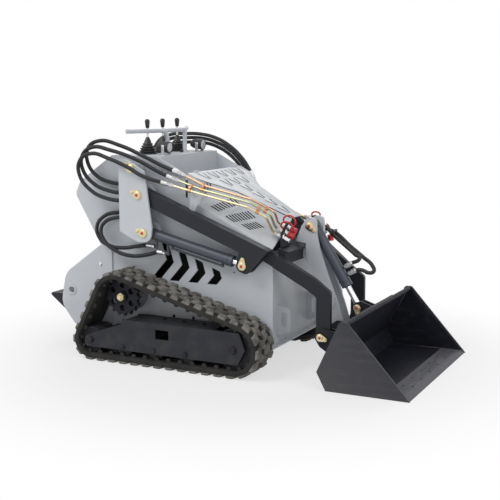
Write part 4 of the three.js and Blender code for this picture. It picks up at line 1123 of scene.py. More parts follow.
class LOADER_OT_keepers(bpy.types.Operator):
    """The plated keepers that lock each pin, with a red plug and a bolt"""

    bl_idname = "loader.keepers"
    bl_label = "Pin keepers"

    THICK = 0.006
    TAIL = 0.036
    TAIL_RADIUS = 0.012
    GAP = 0.0003

    def teardrop(self, radius, tail, tail_radius):
        """The outline round a disc and a smaller round tail above it."""
        lean = math.asin((radius - tail_radius) / tail)
        places = []
        for k in range(25):
            turn = math.pi - lean + (math.pi + 2 * lean) * k / 24
            places.append((radius * math.cos(turn), radius * math.sin(turn)))
        for k in range(11):
            turn = lean + (math.pi - 2 * lean) * k / 10
            places.append((tail_radius * math.cos(turn), tail + tail_radius * math.sin(turn)))
        return places

    def keeper(self, name, place, tail_turn, side, body, size=1.0):
        """A keeper on a face that looks to one side. tail_turn is in degrees, 0 up and 90 forward."""
        radius = sizes().keeper * size
        tail = self.TAIL * size
        base = plate(name, [self.teardrop(radius, tail, self.TAIL_RADIUS * size)], 0, self.THICK, 0.0009)
        rim = turned("rim", [(0, radius * 0.80), (0.003, radius * 0.80), (0.0042, radius * 0.72)],
                     (0, self.THICK, 0), (0, 1, 0), 28)
        bolt = hex_bolt("bolt", 0.009 * size, (0, self.THICK, tail), (0, 1, 0))
        metal = joined(name, [base, rim, bolt])
        plug = turned(f"{name}_plug", [(0, radius * 0.34), (0.0025, radius * 0.34), (0.0045, radius * 0.22)],
                      (0, self.THICK + 0.004, 0), (0, 1, 0), 20)
        turn = Matrix.Rotation(math.radians(tail_turn), 4, "Y")
        flip = Matrix.Diagonal((1, side, 1, 1))
        for obj in (metal, plug):
            obj.data.transform(Matrix.Translation(place) @ flip @ turn)
            if side < 0:
                obj.data.flip_normals()
            soften(obj, 35)
        place_piece(metal, body, "yellow_zinc")
        place_piece(plug, body, "red_plastic")

    def execute(self, context):
        tower_tie = Vector((-0.469, 0, 1.046))
        lift_eye = ARM_PIVOT + Vector((0.612, 0, -0.341))
        tilt_eye = Vector((0.672, 0.0299, 0.318))
        for hand, side in SIDES.items():
            tower = outer_face(f"arm_tower_{hand}", side)
            leg = outer_face("bucket_hitch", side)
            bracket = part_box("tilt_bracket")[1].y
            pins = (
                ("tower_top_keeper", tower_tie, tower, -62, "chassis", 1.0),
                ("arm_pivot_keeper", ARM_PIVOT, tower, -68, "chassis", 1.0),
                ("lift_base_keeper", LIFT_BASE, tower, -75, "chassis", 1.0),
                ("lift_eye_keeper", lift_eye, outer_face(f"lift_arm_{hand}", side), 6, "loader_arms", 0.95),
                ("tilt_base_keeper", TILT_BASE, bracket, 130, "loader_arms", 0.95),
                ("bucket_pin_keeper", BUCKET_PIVOT, leg, 105, "bucket", 0.85),
            )
            for name, pin, face, turn, body, size in pins:
                place = Vector((pin.x, side * (face + self.GAP), pin.z))
                self.keeper(f"{name}_{hand}", place, turn, side, body, size)
            self.keeper(f"tilt_eye_keeper_{hand}", (tilt_eye.x, side * tilt_eye.y, tilt_eye.z), 172, side,
                        "bucket", 0.85)
        return {"FINISHED"}


class LOADER_OT_lines(bpy.types.Operator):
    """The plated steel oil lines along the arms, their clamps, quick couplers, caps and lanyards"""

    bl_idname = "loader.lines"
    bl_label = "Steel lines and couplers"

    COUPLERS = ((0.238, 0.700), (0.207, 0.722), (0.176, 0.744))
    BULKHEAD = ((0.262, 0.648), (0.262, 0.718), (0.196, 0.770), (0.152, 0.772), (0.152, 0.648))
    BEND = 0.026
    # each hand's tubes, outermost first, from their hoses to the turn into the couplers
    TUBES = {
        "right": [metres(line) for line in (
            ((-253, 378, 962), (-72, 378, 922), (205, 378, 865), (300, 360, 818)),
            ((-232, 358, 990), (-72, 358, 942), (212, 358, 885), (313, 340, 831)),
            ((-206, 338, 1020), (-72, 338, 962), (206, 338, 901), (325, 312, 840)),
        )],
        "left": [metres(line) for line in (
            ((-148, 378, 890), (-95, 378, 836), (190, 378, 724), (262, 358, 704), (290, 318, 712)),
            ((-128, 358, 918), (-90, 358, 850), (190, 358, 734), (262, 338, 716), (292, 298, 730)),
            ((-110, 338, 944), (-84, 338, 864), (190, 338, 744), (262, 318, 730), (294, 276, 746)),
        )],
    }
    CLAMPS = {
        "right": ((-0.134, 0), (-0.072, 1), (0.255, 0), (0.288, 1)),
        "left": ((-0.040, 0), (0.010, 1), (0.182, 0), (0.226, 1)),
    }
    FEET = {
        "right": [((-0.150, 0.836), (-0.122, 0.825), (-0.062, 0.912, 0.006), (-0.062, 0.930, 0.008),
                   (-0.144, 0.950, 0.008), (-0.144, 0.932, 0.006))],
        "left": [((-0.047, 0.796), (-0.014, 0.783), (-0.031, 0.806), (-0.049, 0.806)),
                 ((0.172, 0.711), (0.200, 0.700), (0.190, 0.718), (0.174, 0.718))],
    }
    TINTS = ("yellow_zinc", "green_zinc", "copper_zinc")
    CAP_RINGS = [(0, 0.0165), (0.002, 0.0180), (0.008, 0.0180), (0.010, 0.0165), (0.026, 0.0165),
                 (0.0285, 0.0175), (0.032, 0.0175), (0.034, 0.0140)]

    def on_coupler(self, at, side, ahead):
        return Vector((COUPLER_X + ahead, side * at[0], at[1] - ahead * COUPLER_FALL))

    def tube(self, hand, i, side):
        """One tube with its bends, and the nuts on its two ends."""
        corners = [Vector(place) for place in mirror_places(self.TUBES[hand][i], side)]
        corners += [self.on_coupler(self.COUPLERS[i], side, ahead) for ahead in (-0.052, -0.0283)]
        radius = sizes().line
        tube = pipe("tube", bent_line("tube", corners, self.BEND), radius, 4)
        place_piece(soften(tube, 40), "loader_arms", self.TINTS[i],
                    [f"steel_lines_{hand}"])
        tube.name = tube.data.name = f"steel_line_{hand}_{i + 1}"
        nuts = []
        for place, onward in ((corners[0], corners[1]), (corners[-1], corners[-2])):
            rings = [(0, radius * 1.3), (0.002, radius * 1.65), (0.018, radius * 1.65), (0.020, radius * 1.2),
                     (0.028, radius * 1.2)]
            nuts.append(turned("nut", rings, place, onward - place, 6))
        return nuts

    def along_tube(self, hand, i, x):
        """Where a tube is at a place along the machine, and its direction there."""
        places = [Vector(place) for place in self.TUBES[hand][i]]
        k = next(k for k, place in enumerate(places) if place.x > x)
        before, after = places[k - 1], places[k]
        return before.lerp(after, (x - before.x) / (after.x - before.x)), (after - before).normalized()

    def clamp(self, hand, x, i, side):
        """Two saddles round neighbouring tubes, a bar between them and its bolt."""
        radius = sizes().line
        outer, along = self.along_tube(hand, i, x)
        inner, other = self.along_tube(hand, i + 1, x)
        parts = [disc("saddle", radius + 0.0035, place - way * 0.009, way, 0.018, 0.001, 20)
                 for place, way in ((outer, along), (inner, other))]
        across = (inner - outer).normalized()
        up = along.cross(across).normalized()
        if up.z < 0:
            up = -up
        turn = Matrix((along, across, up)).transposed().to_4x4()
        bar = slab("bar", (-0.009, -0.017, -0.0035), (0.009, 0.017, 0.0035), 0.0012)
        centre = (outer + inner) / 2
        if turn.determinant() < 0:
            turn = Matrix((along, -across, up)).transposed().to_4x4()
        bar.data.transform(Matrix.Translation(centre) @ turn)
        bolt = hex_bolt("bolt", 0.008, centre + up * 0.0035, up)
        obj = joined("clamp", [*parts, bar, bolt])
        if side < 0:
            obj.data.transform(Matrix.Diagonal((1, -1, 1, 1)))
            obj.data.flip_normals()
        return obj

    def coupler(self, at, side):
        radius = 0.013
        start = self.on_coupler(at, side, -0.028)
        direction = Vector((1, 0, -COUPLER_FALL))
        rings = [(0, 0.0085), (0.002, 0.0105), (0.016, 0.0105), (0.018, 0.0090), (0.024, 0.0090),
                 (0.026, radius), (0.040, radius), (0.041, 0.0118), (0.046, 0.0118), (0.047, radius),
                 (0.062, radius), (0.064, 0.0115), (0.066, 0.0115), (0.067, 0.0128), (0.0735, 0.0128),
                 (0.0750, 0.0112)]
        body = turned("coupler", rings, start, direction, 24)
        nut = turned("nut", [(0.030, 0.0165), (0.0315, 0.0178), (0.0375, 0.0178), (0.039, 0.0165)],
                     start, direction, 6)
        return soften(joined("coupler", [body, nut]), 35)

    def cap(self, at, side):
        """A ribbed cap over a coupler's end."""
        return turned("cap", self.CAP_RINGS, self.on_coupler(at, side, 0.020), (1, 0, -COUPLER_FALL), 24)

    def lanyard(self, at, side, height, cap_ahead):
        """A thick moulded strap that rises in a loop from a coupler's collar to its cap."""
        first = self.on_coupler(at, side, 0.004) + Vector((0, 0, 0.013))
        last = self.on_coupler(at, side, cap_ahead) + Vector((0, 0, 0.016))
        rise = Vector((0, 0, height))
        out = Vector((0, side * 0.012, 0))
        points = [first, first + rise * 0.55 + Vector((-0.020, 0, 0)) + out, (first + last) / 2 + rise + out,
                  last + rise * 0.55 + Vector((0.018, 0, 0)) + out, last]
        return pipe("lanyard", smooth_line("lanyard", points), 0.0046, 3)

    def hanging_cap(self, side):
        """A cap off its coupler, hanging in front on its lanyard."""
        at = self.COUPLERS[0]
        top = self.on_coupler(at, side, 0.010) + Vector((0, side * 0.013, 0))
        way = ((0, 0, 0), (0.030, 0.010, 0.018), (0.052, 0.012, -0.010), (0.056, 0.012, -0.045))
        points = [top + Vector((x, side * y, z)) for x, y, z in way]
        strap = pipe("strap", smooth_line("strap", points), 0.0046, 3)
        cap = turned("cap", self.CAP_RINGS, points[-1] + Vector((0, 0, 0.004)), (0.1, 0, -1), 24)
        return strap, cap

    def execute(self, context):
        for hand, side in SIDES.items():
            node = f"steel_lines_{hand}"
            nuts = [nut for i in range(len(self.COUPLERS)) for nut in self.tube(hand, i, side)]
            assemble(f"line_nuts_{hand}", nuts, "loader_arms", "white_zinc")
            clamps = [self.clamp(hand, x, i, side) for x, i in self.CLAMPS[hand]]
            assemble(f"line_clamps_{hand}", clamps, "loader_arms", "copper")
            for i, foot in enumerate(self.FEET[hand]):
                tab = plate(f"line_foot_{hand}_{i + 1}", [shape(foot)], side * 0.348, side * 0.354)
                place_piece(tab, "loader_arms", "body_grey", stands_for=[node])
            node = f"coupler_plate_{hand}"
            outline = shape([(y * side, z, 0.006) for y, z in self.BULKHEAD])
            bulkhead = plate(f"bulkhead_{hand}", [outline], -COUPLER_X, -COUPLER_X - 0.008)
            bulkhead.data.transform(Matrix.Rotation(math.radians(90), 4, "Z"))
            # painted shade: the bulkhead is body-grey steel in shade, painted charcoal
            place_piece(bulkhead, "loader_arms", "charcoal_paint", stands_for=[node])
            couplers = joined(f"couplers_{hand}", [self.coupler(at, side) for at in self.COUPLERS])
            place_piece(couplers, "loader_arms", "chrome")
            if side < 0:
                caps = [self.cap(at, side) for at in self.COUPLERS[1:]]
                loops = [self.lanyard(at, side, 0.050 + 0.008 * i, 0.034)
                         for i, at in enumerate(self.COUPLERS[1:])]
            else:
                strap, cap = self.hanging_cap(side)
                caps = [cap]
                loops = [strap, self.lanyard(self.COUPLERS[2], side, 0.034, 0.016)]
            caps = joined(f"coupler_caps_{hand}", caps)
            place_piece(soften(caps, 35), "loader_arms", "red_plastic")
            loops = joined(f"coupler_lanyards_{hand}", loops)
            place_piece(loops, "loader_arms", "red_plastic")
        return {"FINISHED"}


def slot_hole(start, end, width, steps=5):
    """The outline of a slot with round ends, in a plane."""
    start, end = Vector(start), Vector(end)
    along = (end - start).normalized()
    turn = math.atan2(along.y, along.x)
    places = []
    for centre, first in ((end, turn - math.pi / 2), (start, turn + math.pi / 2)):
        for k in range(steps + 1):
            angle = first + math.pi * k / steps
            places.append(centre + Vector((math.cos(angle), math.sin(angle))) * width / 2)
    return places


class LOADER_OT_hood(bpy.types.Operator):
    """The hood lid with its slots, the slotted cheeks beside it, and its hinge knuckles"""

    bl_idname = "loader.hood"
    bl_label = "Hood slots"

    HALVES = ((-0.183, 0.311), (-0.120, 0.296), (0.020, 0.150), (0.308, 0.060))
    THICK = 0.0028
    EDGE = 0.0008
    ABOVE_HOOD = 1.2
    NOSE = (0.308, 0.781)
    ROWS = ((-0.137, (-0.2, -0.1, 0, 0.1, 0.2)), (-0.057, (-0.1, 0, 0.1)), (0.015, (0,)), (0.089, (0,)),
            (0.163, (0,)), (0.239, (0,)))
    ARM = 0.027
    SPREAD = (0.030, 0.009)
    SLOT = 0.0085
    CHEEK_GROUPS = ((-0.117, 0.300, 5), (-0.033, 0.283, 9), (0.055, 0.283, 9), (0.142, 0.271, 6))
    CHEEK_STEP = (0.0095, -0.0118)  # from one slot of a group to the next, forward and outward

    def lid(self):
        outline = [(x, half) for x, half in self.HALVES] + [(x, -half) for x, half in reversed(self.HALVES)]
        loops = [outline]
        for x, middles in self.ROWS:
            for y in middles:
                for side in (1, -1):
                    loops.append(slot_hole((x - self.ARM, y + side * self.SPREAD[0]),
                                           (x + self.ARM, y + side * self.SPREAD[1]), self.SLOT))
        lid = sheet("hood_lid", loops, self.THICK, self.EDGE)
        fall = (self.NOSE[1] - HOOD_HINGE.z) / (self.NOSE[0] - HOOD_HINGE.x)
        lean = Matrix.Identity(4)
        lean[2][0] = fall
        lean[2][3] = HOOD_HINGE.z - fall * HOOD_HINGE.x - self.THICK / 2
        lid.data.transform(lean)
        return soften(lid, 30)

    def cheek(self, hand, side):
        """A fixed cheek of the hood with four groups of slanted slots cut through it."""
        cheek = bare_copy(f"hood_side_{hand}", f"hood_cheek_{hand}")
        cutters = []
        for first, across, count in self.CHEEK_GROUPS:
            for k in range(count):
                x = first + k * self.CHEEK_STEP[0]
                y = side * (across + k * self.CHEEK_STEP[1])
                above = Vector((x, y, self.ABOVE_HOOD))
                found, place, normal, face = cheek.ray_cast(above, Vector((0, 0, -1)))
                if not found:
                    raise RuntimeError(f"a slot of hood_side_{hand} lies off its face")
                along = Vector((normal.z, 0, -normal.x)).normalized()
                turn = Matrix((along, normal.cross(along), normal)).transposed().to_4x4()
                cutter = slab("slot", (-0.029, -0.0035, -0.02), (0.029, 0.0035, 0.02))
                cutter.data.transform(Matrix.Translation(place) @ turn)
                cutters.append(cutter)
        cutters = joined("slots", cutters)
        paint(cheek, FINISHES["body_grey"])
        # the cutters carry the painted slot shade, which the boolean hands on to the slot walls
        paint(cutters, FINISHES["painted_slot_shade"])
        apply(cheek, "BOOLEAN", object=cutters, operation="DIFFERENCE", solver="EXACT", use_self=True,
              material_mode="TRANSFER")
        remove(cutters)
        walls = [face.index for face in cheek.data.polygons if face.material_index]
        return soften(cheek, 30), walls

    def lid_walls(self, lid):
        """The faces inside the lid's slots, which get painted shade."""
        walls = []
        for face in lid.data.polygons:
            ahead = (face.center.x - HOOD_HINGE.x) / (self.NOSE[0] - HOOD_HINGE.x)
            edge = self.HALVES[0][1] + (self.HALVES[-1][1] - self.HALVES[0][1]) * ahead
            if abs(face.normal.z) < 0.5 and 0.05 < ahead < 0.95 and abs(face.center.y) < edge - 0.025:
                walls.append(face.index)
        return walls

    # paints the given faces near-black as the shade inside the slots
    def darken(self, obj, walls):
        obj.data.materials.append(FINISHES["painted_slot_shade"])
        for i in walls:
            obj.data.polygons[i].material_index = 1

    def execute(self, context):
        lid = place_piece(self.lid(), "hood", "body_grey", stands_for=["hood"])
        self.darken(lid, self.lid_walls(lid))
        for hand, side in SIDES.items():
            cheek, walls = self.cheek(hand, side)
            place_piece(cheek, "chassis", "body_grey", stands_for=[f"hood_side_{hand}"])
            self.darken(cheek, walls)
        hinges = []
        for y in (-0.22, 0.22):
            knuckle = turned("knuckle", [(0, 0.0045), (0.001, 0.0055), (0.049, 0.0055), (0.050, 0.0045)],
                             (HOOD_HINGE.x - 0.001, y - 0.025, HOOD_HINGE.z + 0.002), (0, 1, 0), 16)
            hinges.append(knuckle)
        assemble("hood_knuckles", hinges, "hood", "body_grey")
        return {"FINISHED"}


class LOADER_OT_controls(bpy.types.Operator):
    """The levers in their boots, the handlebar, the work lights and the small switches on the console"""

    bl_idname = "loader.controls"
    bl_label = "Levers, handlebar and lights"

    BOOT = [(0, 0.0500), (0.001, 0.0520), (0.006, 0.0520), (0.009, 0.0440), (0.012, 0.0430),
            (0.015, 0.0485), (0.019, 0.0480), (0.022, 0.0385), (0.025, 0.0375), (0.028, 0.0435),
            (0.032, 0.0430), (0.035, 0.0330), (0.038, 0.0320), (0.041, 0.0375), (0.045, 0.0365),
            (0.048, 0.0265), (0.051, 0.0255), (0.054, 0.0290), (0.058, 0.0280), (0.061, 0.0215),
            (0.072, 0.0180), (0.084, 0.0125), (0.092, 0.0090), (0.094, 0.0070)]
    KNOB = [(0.142, 0.0075), (0.146, 0.0098), (0.150, 0.0110), (0.162, 0.0122), (0.172, 0.0136),
            (0.180, 0.0140), (0.186, 0.0128), (0.190, 0.0096), (0.192, 0.0050)]
    # each side's bar, from its grip to the foot of its post
    BAR = ((-0.555, 0.322, 0), (-0.502, 0.232, 0), (-0.456, 0.138, 0), (-0.438, 0.103, -0.006),
           (-0.434, 0.095, -0.050), (-0.434, 0.095, -0.116))
    CROSSBAR = (-0.442, 0.109)
    BAR_RADIUS = 0.0118

    def lever(self, hand):
        node = f"control_lever_{hand}"
        low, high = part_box(node)
        start = ((low.x + high.x) / 2, (low.y + high.y) / 2, low.z)
        boot = soften(turned(f"lever_boot_{hand}", self.BOOT, start, (0, 0, 1), 36), 60)
        place_piece(boot, "chassis", "black_plastic", stands_for=[node])
        shaft = turned(f"lever_shaft_{hand}", [(0.088, 0.0056), (0.146, 0.0056)], start, (0, 0, 1), 20)
        place_piece(soften(shaft, 40), "chassis", "white_zinc", [node])
        knob = soften(turned(f"lever_knob_{hand}", self.KNOB, start, (0, 0, 1), 28), 60)
        place_piece(knob, "chassis", "black_plastic", stands_for=[node])

    def bar(self):
        low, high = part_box("handlebar")
        z = high.z - 0.012
        pieces = []
        for side in (1, -1):
            corners = [Vector((x, y * side, z + up)) for x, y, up in self.BAR[:-1]]
            foot = Vector((corners[-1].x, corners[-1].y, low.z))
            pieces.append(pipe("bar", bent_line("bar", [*corners, foot], 0.03), self.BAR_RADIUS, 5))
            pieces.append(disc("flange", 0.026, foot, (0, 0, 1), 0.006, 0.001, 28))
        x, reach = self.CROSSBAR
        ends = [Vector((x, reach * side, z)) for side in (1, -1)]
        pieces.append(pipe("crossbar", bent_line("crossbar", ends, 0.01), self.BAR_RADIUS, 5))
        bar = soften(joined("handlebar_tube", pieces), 40)
        place_piece(bar, "chassis", "body_grey", stands_for=["handlebar"])
        grips = []
        for side in (1, -1):
            end = Vector((self.BAR[0][0], side * self.BAR[0][1], z))
            inward = Vector((self.BAR[1][0], side * self.BAR[1][1], z)) - end
            grips.append(turned("plug", [(-0.001, 0.0100), (0, 0.0126), (0.006, 0.0126)], end, inward, 24))
        assemble("handlebar_plugs", grips, "chassis", "body_grey", angle=40)

    def light(self, hand):
        node = f"work_light_{hand}"
        low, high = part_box(node)
        y = (low.y + high.y) / 2
        z = high.z - 0.032
        start = Vector((low.x, y, z))
        ahead = (1, 0, -0.07)
        rings = [(-0.026, 0.012), (-0.024, 0.018), (-0.012, 0.0245), (0.006, 0.0290), (0.022, 0.0305),
                 (0.042, 0.0308), (0.044, 0.0318), (0.053, 0.0318), (0.0545, 0.0295), (0.052, 0.0280)]
        housing = turned(f"light_housing_{hand}", rings, start, ahead, 36)
        place_piece(soften(housing, 35), "chassis", "black_plastic", stands_for=[node])
        dome = [(0.0512, 0.0278), (0.0535, 0.0260), (0.0548, 0.0180), (0.0552, 0.008)]
        glass = turned(f"light_glass_{hand}", dome, start, ahead, 32)
        place_piece(soften(glass, 60), "chassis", "lamp_glass")
        centre = start + Vector((0.026, 0, 0))
        cheeks = [slab("cheek", (centre.x - 0.009, y + across - 0.0012, low.z + 0.001),
                       (centre.x + 0.009, y + across + 0.0012, z + 0.010), 0.0008)
                  for across in (-0.0322, 0.0322)]
        foot = slab("foot", (centre.x - 0.009, y - 0.0334, low.z),
                    (centre.x + 0.009, y + 0.0334, low.z + 0.0026), 0.0008)
        bolts = [hex_bolt("bolt", 0.007, (centre.x, y + across, z), (0, across, 0))
                 for across in (-0.0334, 0.0334)]
        bracket = soften(joined(f"light_bracket_{hand}", [*cheeks, foot, *bolts]), 35)
        place_piece(bracket, "chassis", "white_zinc", [node])

    def execute(self, context):
        for hand in ("left", "middle", "right"):
            self.lever(hand)
        self.bar()
        for hand in SIDES:
            self.light(hand)
        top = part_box("control_console")[1].z
        switches = []
        for x, y, radius in ((-0.585, 0.085, 0.011), (-0.585, -0.085, 0.011), (-0.440, 0.070, 0.009)):
            switches.append(turned("switch", [(0, radius * 1.4), (0.002, radius * 1.4), (0.003, radius),
                                              (0.014, radius * 0.92), (0.016, radius * 0.7)],
                                   (x, y, top), (0, 0, 1), 24))
        assemble("console_switches", switches, "chassis", "black_plastic", angle=40)
        return {"FINISHED"}


class LOADER_OT_wheels(bpy.types.Operator):
    """The sprockets' castle nuts, the idlers' rims and the bolts of the track frames"""

    bl_idname = "loader.wheels"
    bl_label = "Wheels and frame bolts"

    ROLLERS = (-0.481, -0.288, -0.095)
    ROLLER_Z = 0.092
    LEDGE_BOLTS = ((-0.284, 0.403), (-0.159, 0.406), (-0.036, 0.409))
    LEDGE_TOP = 0.240
    BODY_BOLTS = (-0.274, -0.153, -0.032)

    def castle_nut(self, place, side):
        """A nut with slots in its rim, and the stub it holds."""
        out = (0, side, 0)
        body = turned("nut", [(0, 0.0205), (0.001, 0.0225), (0.010, 0.0225), (0.0115, 0.0190)], place, out, 6)
        parts = [body]
        for k in range(6):
            turn = math.radians(60 * k)
            tooth = slab("tooth", (-0.0055, 0, 0.0105), (0.0055, 0.0085, 0.0175), 0.0006)
            tooth.data.transform(Matrix.Rotation(turn, 4, "Z") @ Matrix.Translation((0, 0.0085, 0)))
            tooth.data.transform(Matrix.Translation(place) @ toward(out))
            parts.append(tooth)
        stub = turned("stub", [(0, 0.0105), (0.018, 0.0105), (0.020, 0.0090)], place, out, 24)
        return joined("castle_nut", [*parts, stub])

    def ring(self, name, centre, outer, inner, near, far):
        """A flat ring on a wheel's face."""
        circles = [circle_places(centre, radius, 48) for radius in (outer, inner)]
        return plate(name, circles, near, far, 0.0012)

    def execute(self, context):
        for hand, side in SIDES.items():
            face = outer_face(f"drive_sprocket_{hand}", side)
            hub = Vector((SPROCKET.x, side * (face - 0.0006), SPROCKET.z))
            nut = soften(self.castle_nut(hub, side), 35)
            nut.name = nut.data.name = f"castle_nut_{hand}"
            place_piece(nut, "chassis", "yellow_zinc")
            for name, centre in (("front_idler", FRONT_IDLER), ("rear_idler", REAR_IDLER)):
                node = f"{name}_{hand}"
                low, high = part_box(node)
                radius = (high.z - low.z) / 2
                flank = outer_face(node, side)
                flat = (centre.x, centre.z)
                near, far = side * (flank - 0.0005), side * (flank + 0.005)
                rim = self.ring("rim", flat, radius - 0.001, radius - 0.012, near, far)
                boss = self.ring("boss", flat, radius * 0.42, radius * 0.24, near, far)
                place_piece(joined(f"{node}_rings", [rim, boss]), "chassis", "black_paint")
            frame_face = outer_face(f"track_frame_{hand}", side)
            out = (0, side, 0)
            bolts = []
            for x in self.ROLLERS:
                bolts.append(hex_bolt("bolt", 0.015, (x, side * frame_face, self.ROLLER_Z), out))
            for pin, size in ((REAR_IDLER, 0.017), (FRONT_IDLER, 0.020)):
                bolts.append(hex_bolt("bolt", size, (pin.x, side * frame_face, pin.z), out))
            for x, y in self.LEDGE_BOLTS:
                bolts.append(hex_bolt("bolt", 0.011, (x, side * y, self.LEDGE_TOP - 0.001), (0, 0, 1)))
            for x in self.BODY_BOLTS:
                bolts.append(hex_bolt("bolt", 0.008, (x, side * BODY_HALF, self.LEDGE_TOP + 0.003), out))
            assemble(f"frame_bolts_{hand}", bolts, "chassis", "black_paint")
        return {"FINISHED"}


class LOADER_OT_bucket(bpy.types.Operator):
    """The bucket's cutting edge with its bolt holes, and weld beads along its plates"""

    bl_idname = "loader.bucket"
    bl_label = "Bucket details"

    HOLES = 7
    HOLE_ROWS = (1.015, 1.062)
    HOLE_SPAN = 0.444
    HOLE_RADIUS = 0.0065
    HALF = 0.503
    BEAD = 0.0035

    def cutting_edge(self):
        edge = bare_copy("bucket_cutting_edge", "cutting_edge")
        cutters = []
        for x in self.HOLE_ROWS:
            for k in range(self.HOLES):
                y = self.HOLE_SPAN * (2 * k / (self.HOLES - 1) - 1)
                cutters.append(turned("hole", [(-0.01, self.HOLE_RADIUS), (0.03, self.HOLE_RADIUS)],
                                      (x, y, 0), (0, 0, 1), 20))
        cutters = joined("holes", cutters)
        apply(edge, "BOOLEAN", object=cutters, operation="DIFFERENCE", solver="EXACT")
        remove(cutters)
        return soften(edge, 30)

    def bead(self, places):
        """A weld bead along a line."""
        line = poly_line("bead", [[Vector(place) for place in places]])
        bead = pipe("bead", line, self.BEAD, 2)
        apply(bead, "SUBSURF", levels=1, subdivision_type="SIMPLE")
        return bead

    def execute(self, context):
        place_piece(self.cutting_edge(), "bucket", "edge_steel", ["bucket_cutting_edge"])
        beads = []
        for side in (1, -1):
            inside = side * (self.HALF - 0.0005)
            beads.append(self.bead([(x, inside, z) for x, z in (
                (0.781, 0.338), (0.6525, 0.094), (0.697, 0.0105), (0.985, 0.0105))]))
        beads.append(self.bead([(0.985, -self.HALF, 0.0125), (0.985, self.HALF, 0.0125)]))
        assemble("bucket_welds", beads, "bucket", "bucket_paint", angle=60)
        return {"FINISHED"}


class LOADER_OT_body(bpy.types.Operator):
    """The rims round the pin bosses, the body's screws, and the trim of the ears"""

    bl_idname = "loader.body"
    bl_label = "Body details"

    SCREWS = ((0.095, 0.511), (-0.525, 0.495))
    EAR_SCREW = (-0.742, 0.496)
    EAR_EYE = (-0.944, 0.334)
    EAR_FACE = 0.3283
    FLOOR_SCREWS = (-0.650, -0.450, -0.250, -0.050, 0.150)

    def execute(self, context):
        for hand, side in SIDES.items():
            out = (0, side, 0)
            face = side * BODY_HALF
            bosses = []
            for pin in (ARM_PIVOT, LIFT_BASE):
                bosses.append(turned("boss", [(0, 0.056), (0.002, 0.0555), (0.006, 0.0500), (0.009, 0.0485)],
                                     (pin.x, face, pin.z), out, 40))
            assemble(f"boss_welds_{hand}", bosses, "chassis", "body_grey", angle=50)
            screws = [hex_bolt("screw", 0.004, (x, face, z), out) for x, z in self.SCREWS]
            assemble(f"body_screws_{hand}", screws, "chassis", "black_paint")
            x, z = self.EAR_SCREW
            screw = turned(f"ear_screw_{hand}", [(0, 0.0115), (0.002, 0.0115), (0.006, 0.0075)],
                           (x, side * self.EAR_FACE, z), out, 24)
            place_piece(soften(screw, 50), "chassis", "white_zinc")
            eye = plate(f"ear_eye_{hand}", [circle_places(self.EAR_EYE, 0.030, 40),
                                            circle_places(self.EAR_EYE, 0.0192, 40)],
                        side * (self.EAR_FACE - 0.0002), side * (self.EAR_FACE + 0.004), 0.001)
            place_piece(eye, "chassis", "body_grey")
        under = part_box("body_floor")[0].z
        screws = [hex_bolt("screw", 0.009, (x, y, under), (0, 0, -1))
                  for x in self.FLOOR_SCREWS for y in (-0.28, 0.28)]
        assemble("floor_screws", screws, "chassis", "black_paint")
        return {"FINISHED"}


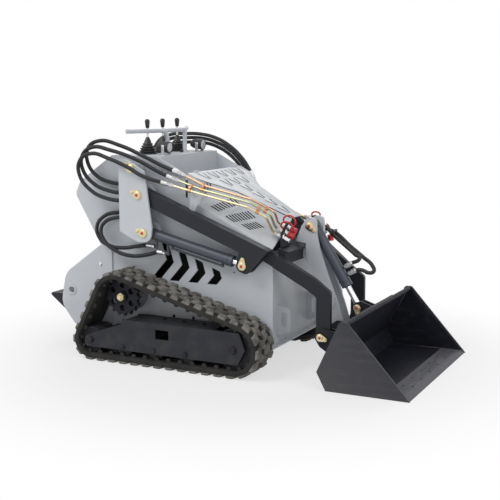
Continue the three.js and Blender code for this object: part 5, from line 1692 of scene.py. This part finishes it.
class LOADER_OT_cylinders(bpy.types.Operator):
    """The glands, wipers and end caps of the lift and tilt cylinders"""

    bl_idname = "loader.cylinders"
    bl_label = "Cylinder details"

    LIFT_LENGTH = 0.532
    TILT_LENGTH = 0.372
    LIFT_ROD = 0.018
    TILT_ROD = 0.016
    RADIUS = 0.029
    GLAND = 0.040

    def gland(self, base, direction, length, rod):
        """The ringed nut on a barrel's open end, which the rod runs through."""
        start = base + direction * (length - self.GLAND)
        barrel = self.RADIUS
        rings = [(0, barrel + 0.0003), (0.0012, barrel + 0.0022), (0.012, barrel + 0.0022),
                 (0.013, barrel + 0.0008), (0.015, barrel + 0.0008), (0.016, barrel + 0.0022),
                 (0.039, barrel + 0.0022), (0.041, barrel), (0.041, rod + 0.004), (0.044, rod + 0.003),
                 (0.044, rod + 0.0008), (0.030, rod + 0.0008)]
        return turned("gland", rings, start, direction, 36, closed=False)

    def collar(self, base, direction):
        """The welded cap on a barrel's closed end."""
        rings = [(0.022, self.RADIUS - 0.004), (0.024, self.RADIUS + 0.0015), (0.040, self.RADIUS + 0.0015),
                 (0.0415, self.RADIUS + 0.0002)]
        return turned("collar", rings, base, direction, 36)

    def execute(self, context):
        for hand, side in SIDES.items():
            base = Vector((LIFT_BASE.x, side * abs(middle(f"lift_cylinder_barrel_{hand}").y), LIFT_BASE.z))
            axis = self.slide_axis(f"lift_rod_{hand}_slide")
            pieces = [self.gland(base, axis, self.LIFT_LENGTH, self.LIFT_ROD), self.collar(base, axis)]
            assemble(f"lift_gland_{hand}", pieces, f"lift_barrel_{hand}", "barrel_paint")
        axis = self.slide_axis("tilt_rod_slide")
        base = Vector((TILT_BASE.x, 0, TILT_BASE.z))
        pieces = [self.gland(base, axis, self.TILT_LENGTH, self.TILT_ROD), self.collar(base, axis)]
        assemble("tilt_gland", pieces, "tilt_barrel", "barrel_paint")
        return {"FINISHED"}

    def slide_axis(self, name):
        joint = next(j for j in frame["joints"] if j["name"] == name)
        return Vector(joint["axis"]).normalized()


# ---------------------------------------------------------------- panel and start

class LOADER_PT_panel(bpy.types.Panel):
    """The loader's sizes, colours and pieces"""

    bl_idname = "LOADER_PT_panel"
    bl_label = "Tracked loader"
    bl_space_type = "VIEW_3D"
    bl_region_type = "UI"
    bl_category = "Loader"

    def draw(self, context):
        layout = self.layout
        for group in (context.scene.loader_sizes, context.scene.loader_colours):
            column = layout.column(align=True)
            for name in type(group).__annotations__:
                column.prop(group, name)
        for operator in OPERATORS:
            layout.operator(operator.bl_idname)


OPERATORS = [
    LOADER_OT_dress,
    LOADER_OT_tracks,
    LOADER_OT_hoses,
    LOADER_OT_keepers,
    LOADER_OT_lines,
    LOADER_OT_hood,
    LOADER_OT_controls,
    LOADER_OT_wheels,
    LOADER_OT_bucket,
    LOADER_OT_body,
    LOADER_OT_cylinders,
    LOADER_OT_stage,
]
CLASSES = [LoaderColours, LoaderSizes, *OPERATORS, LOADER_PT_panel]


def register():
    for cls in CLASSES:
        bpy.utils.register_class(cls)
    bpy.types.Scene.loader_colours = bpy.props.PointerProperty(type=LoaderColours)
    bpy.types.Scene.loader_sizes = bpy.props.PointerProperty(type=LoaderSizes)


def unregister():
    del bpy.types.Scene.loader_sizes
    del bpy.types.Scene.loader_colours
    for cls in reversed(CLASSES):
        bpy.utils.unregister_class(cls)


def main():
    register()
    for operator in OPERATORS:
        family, name = operator.bl_idname.split(".")
        getattr(getattr(bpy.ops, family), name)()


if __name__ == "__main__":
    main()
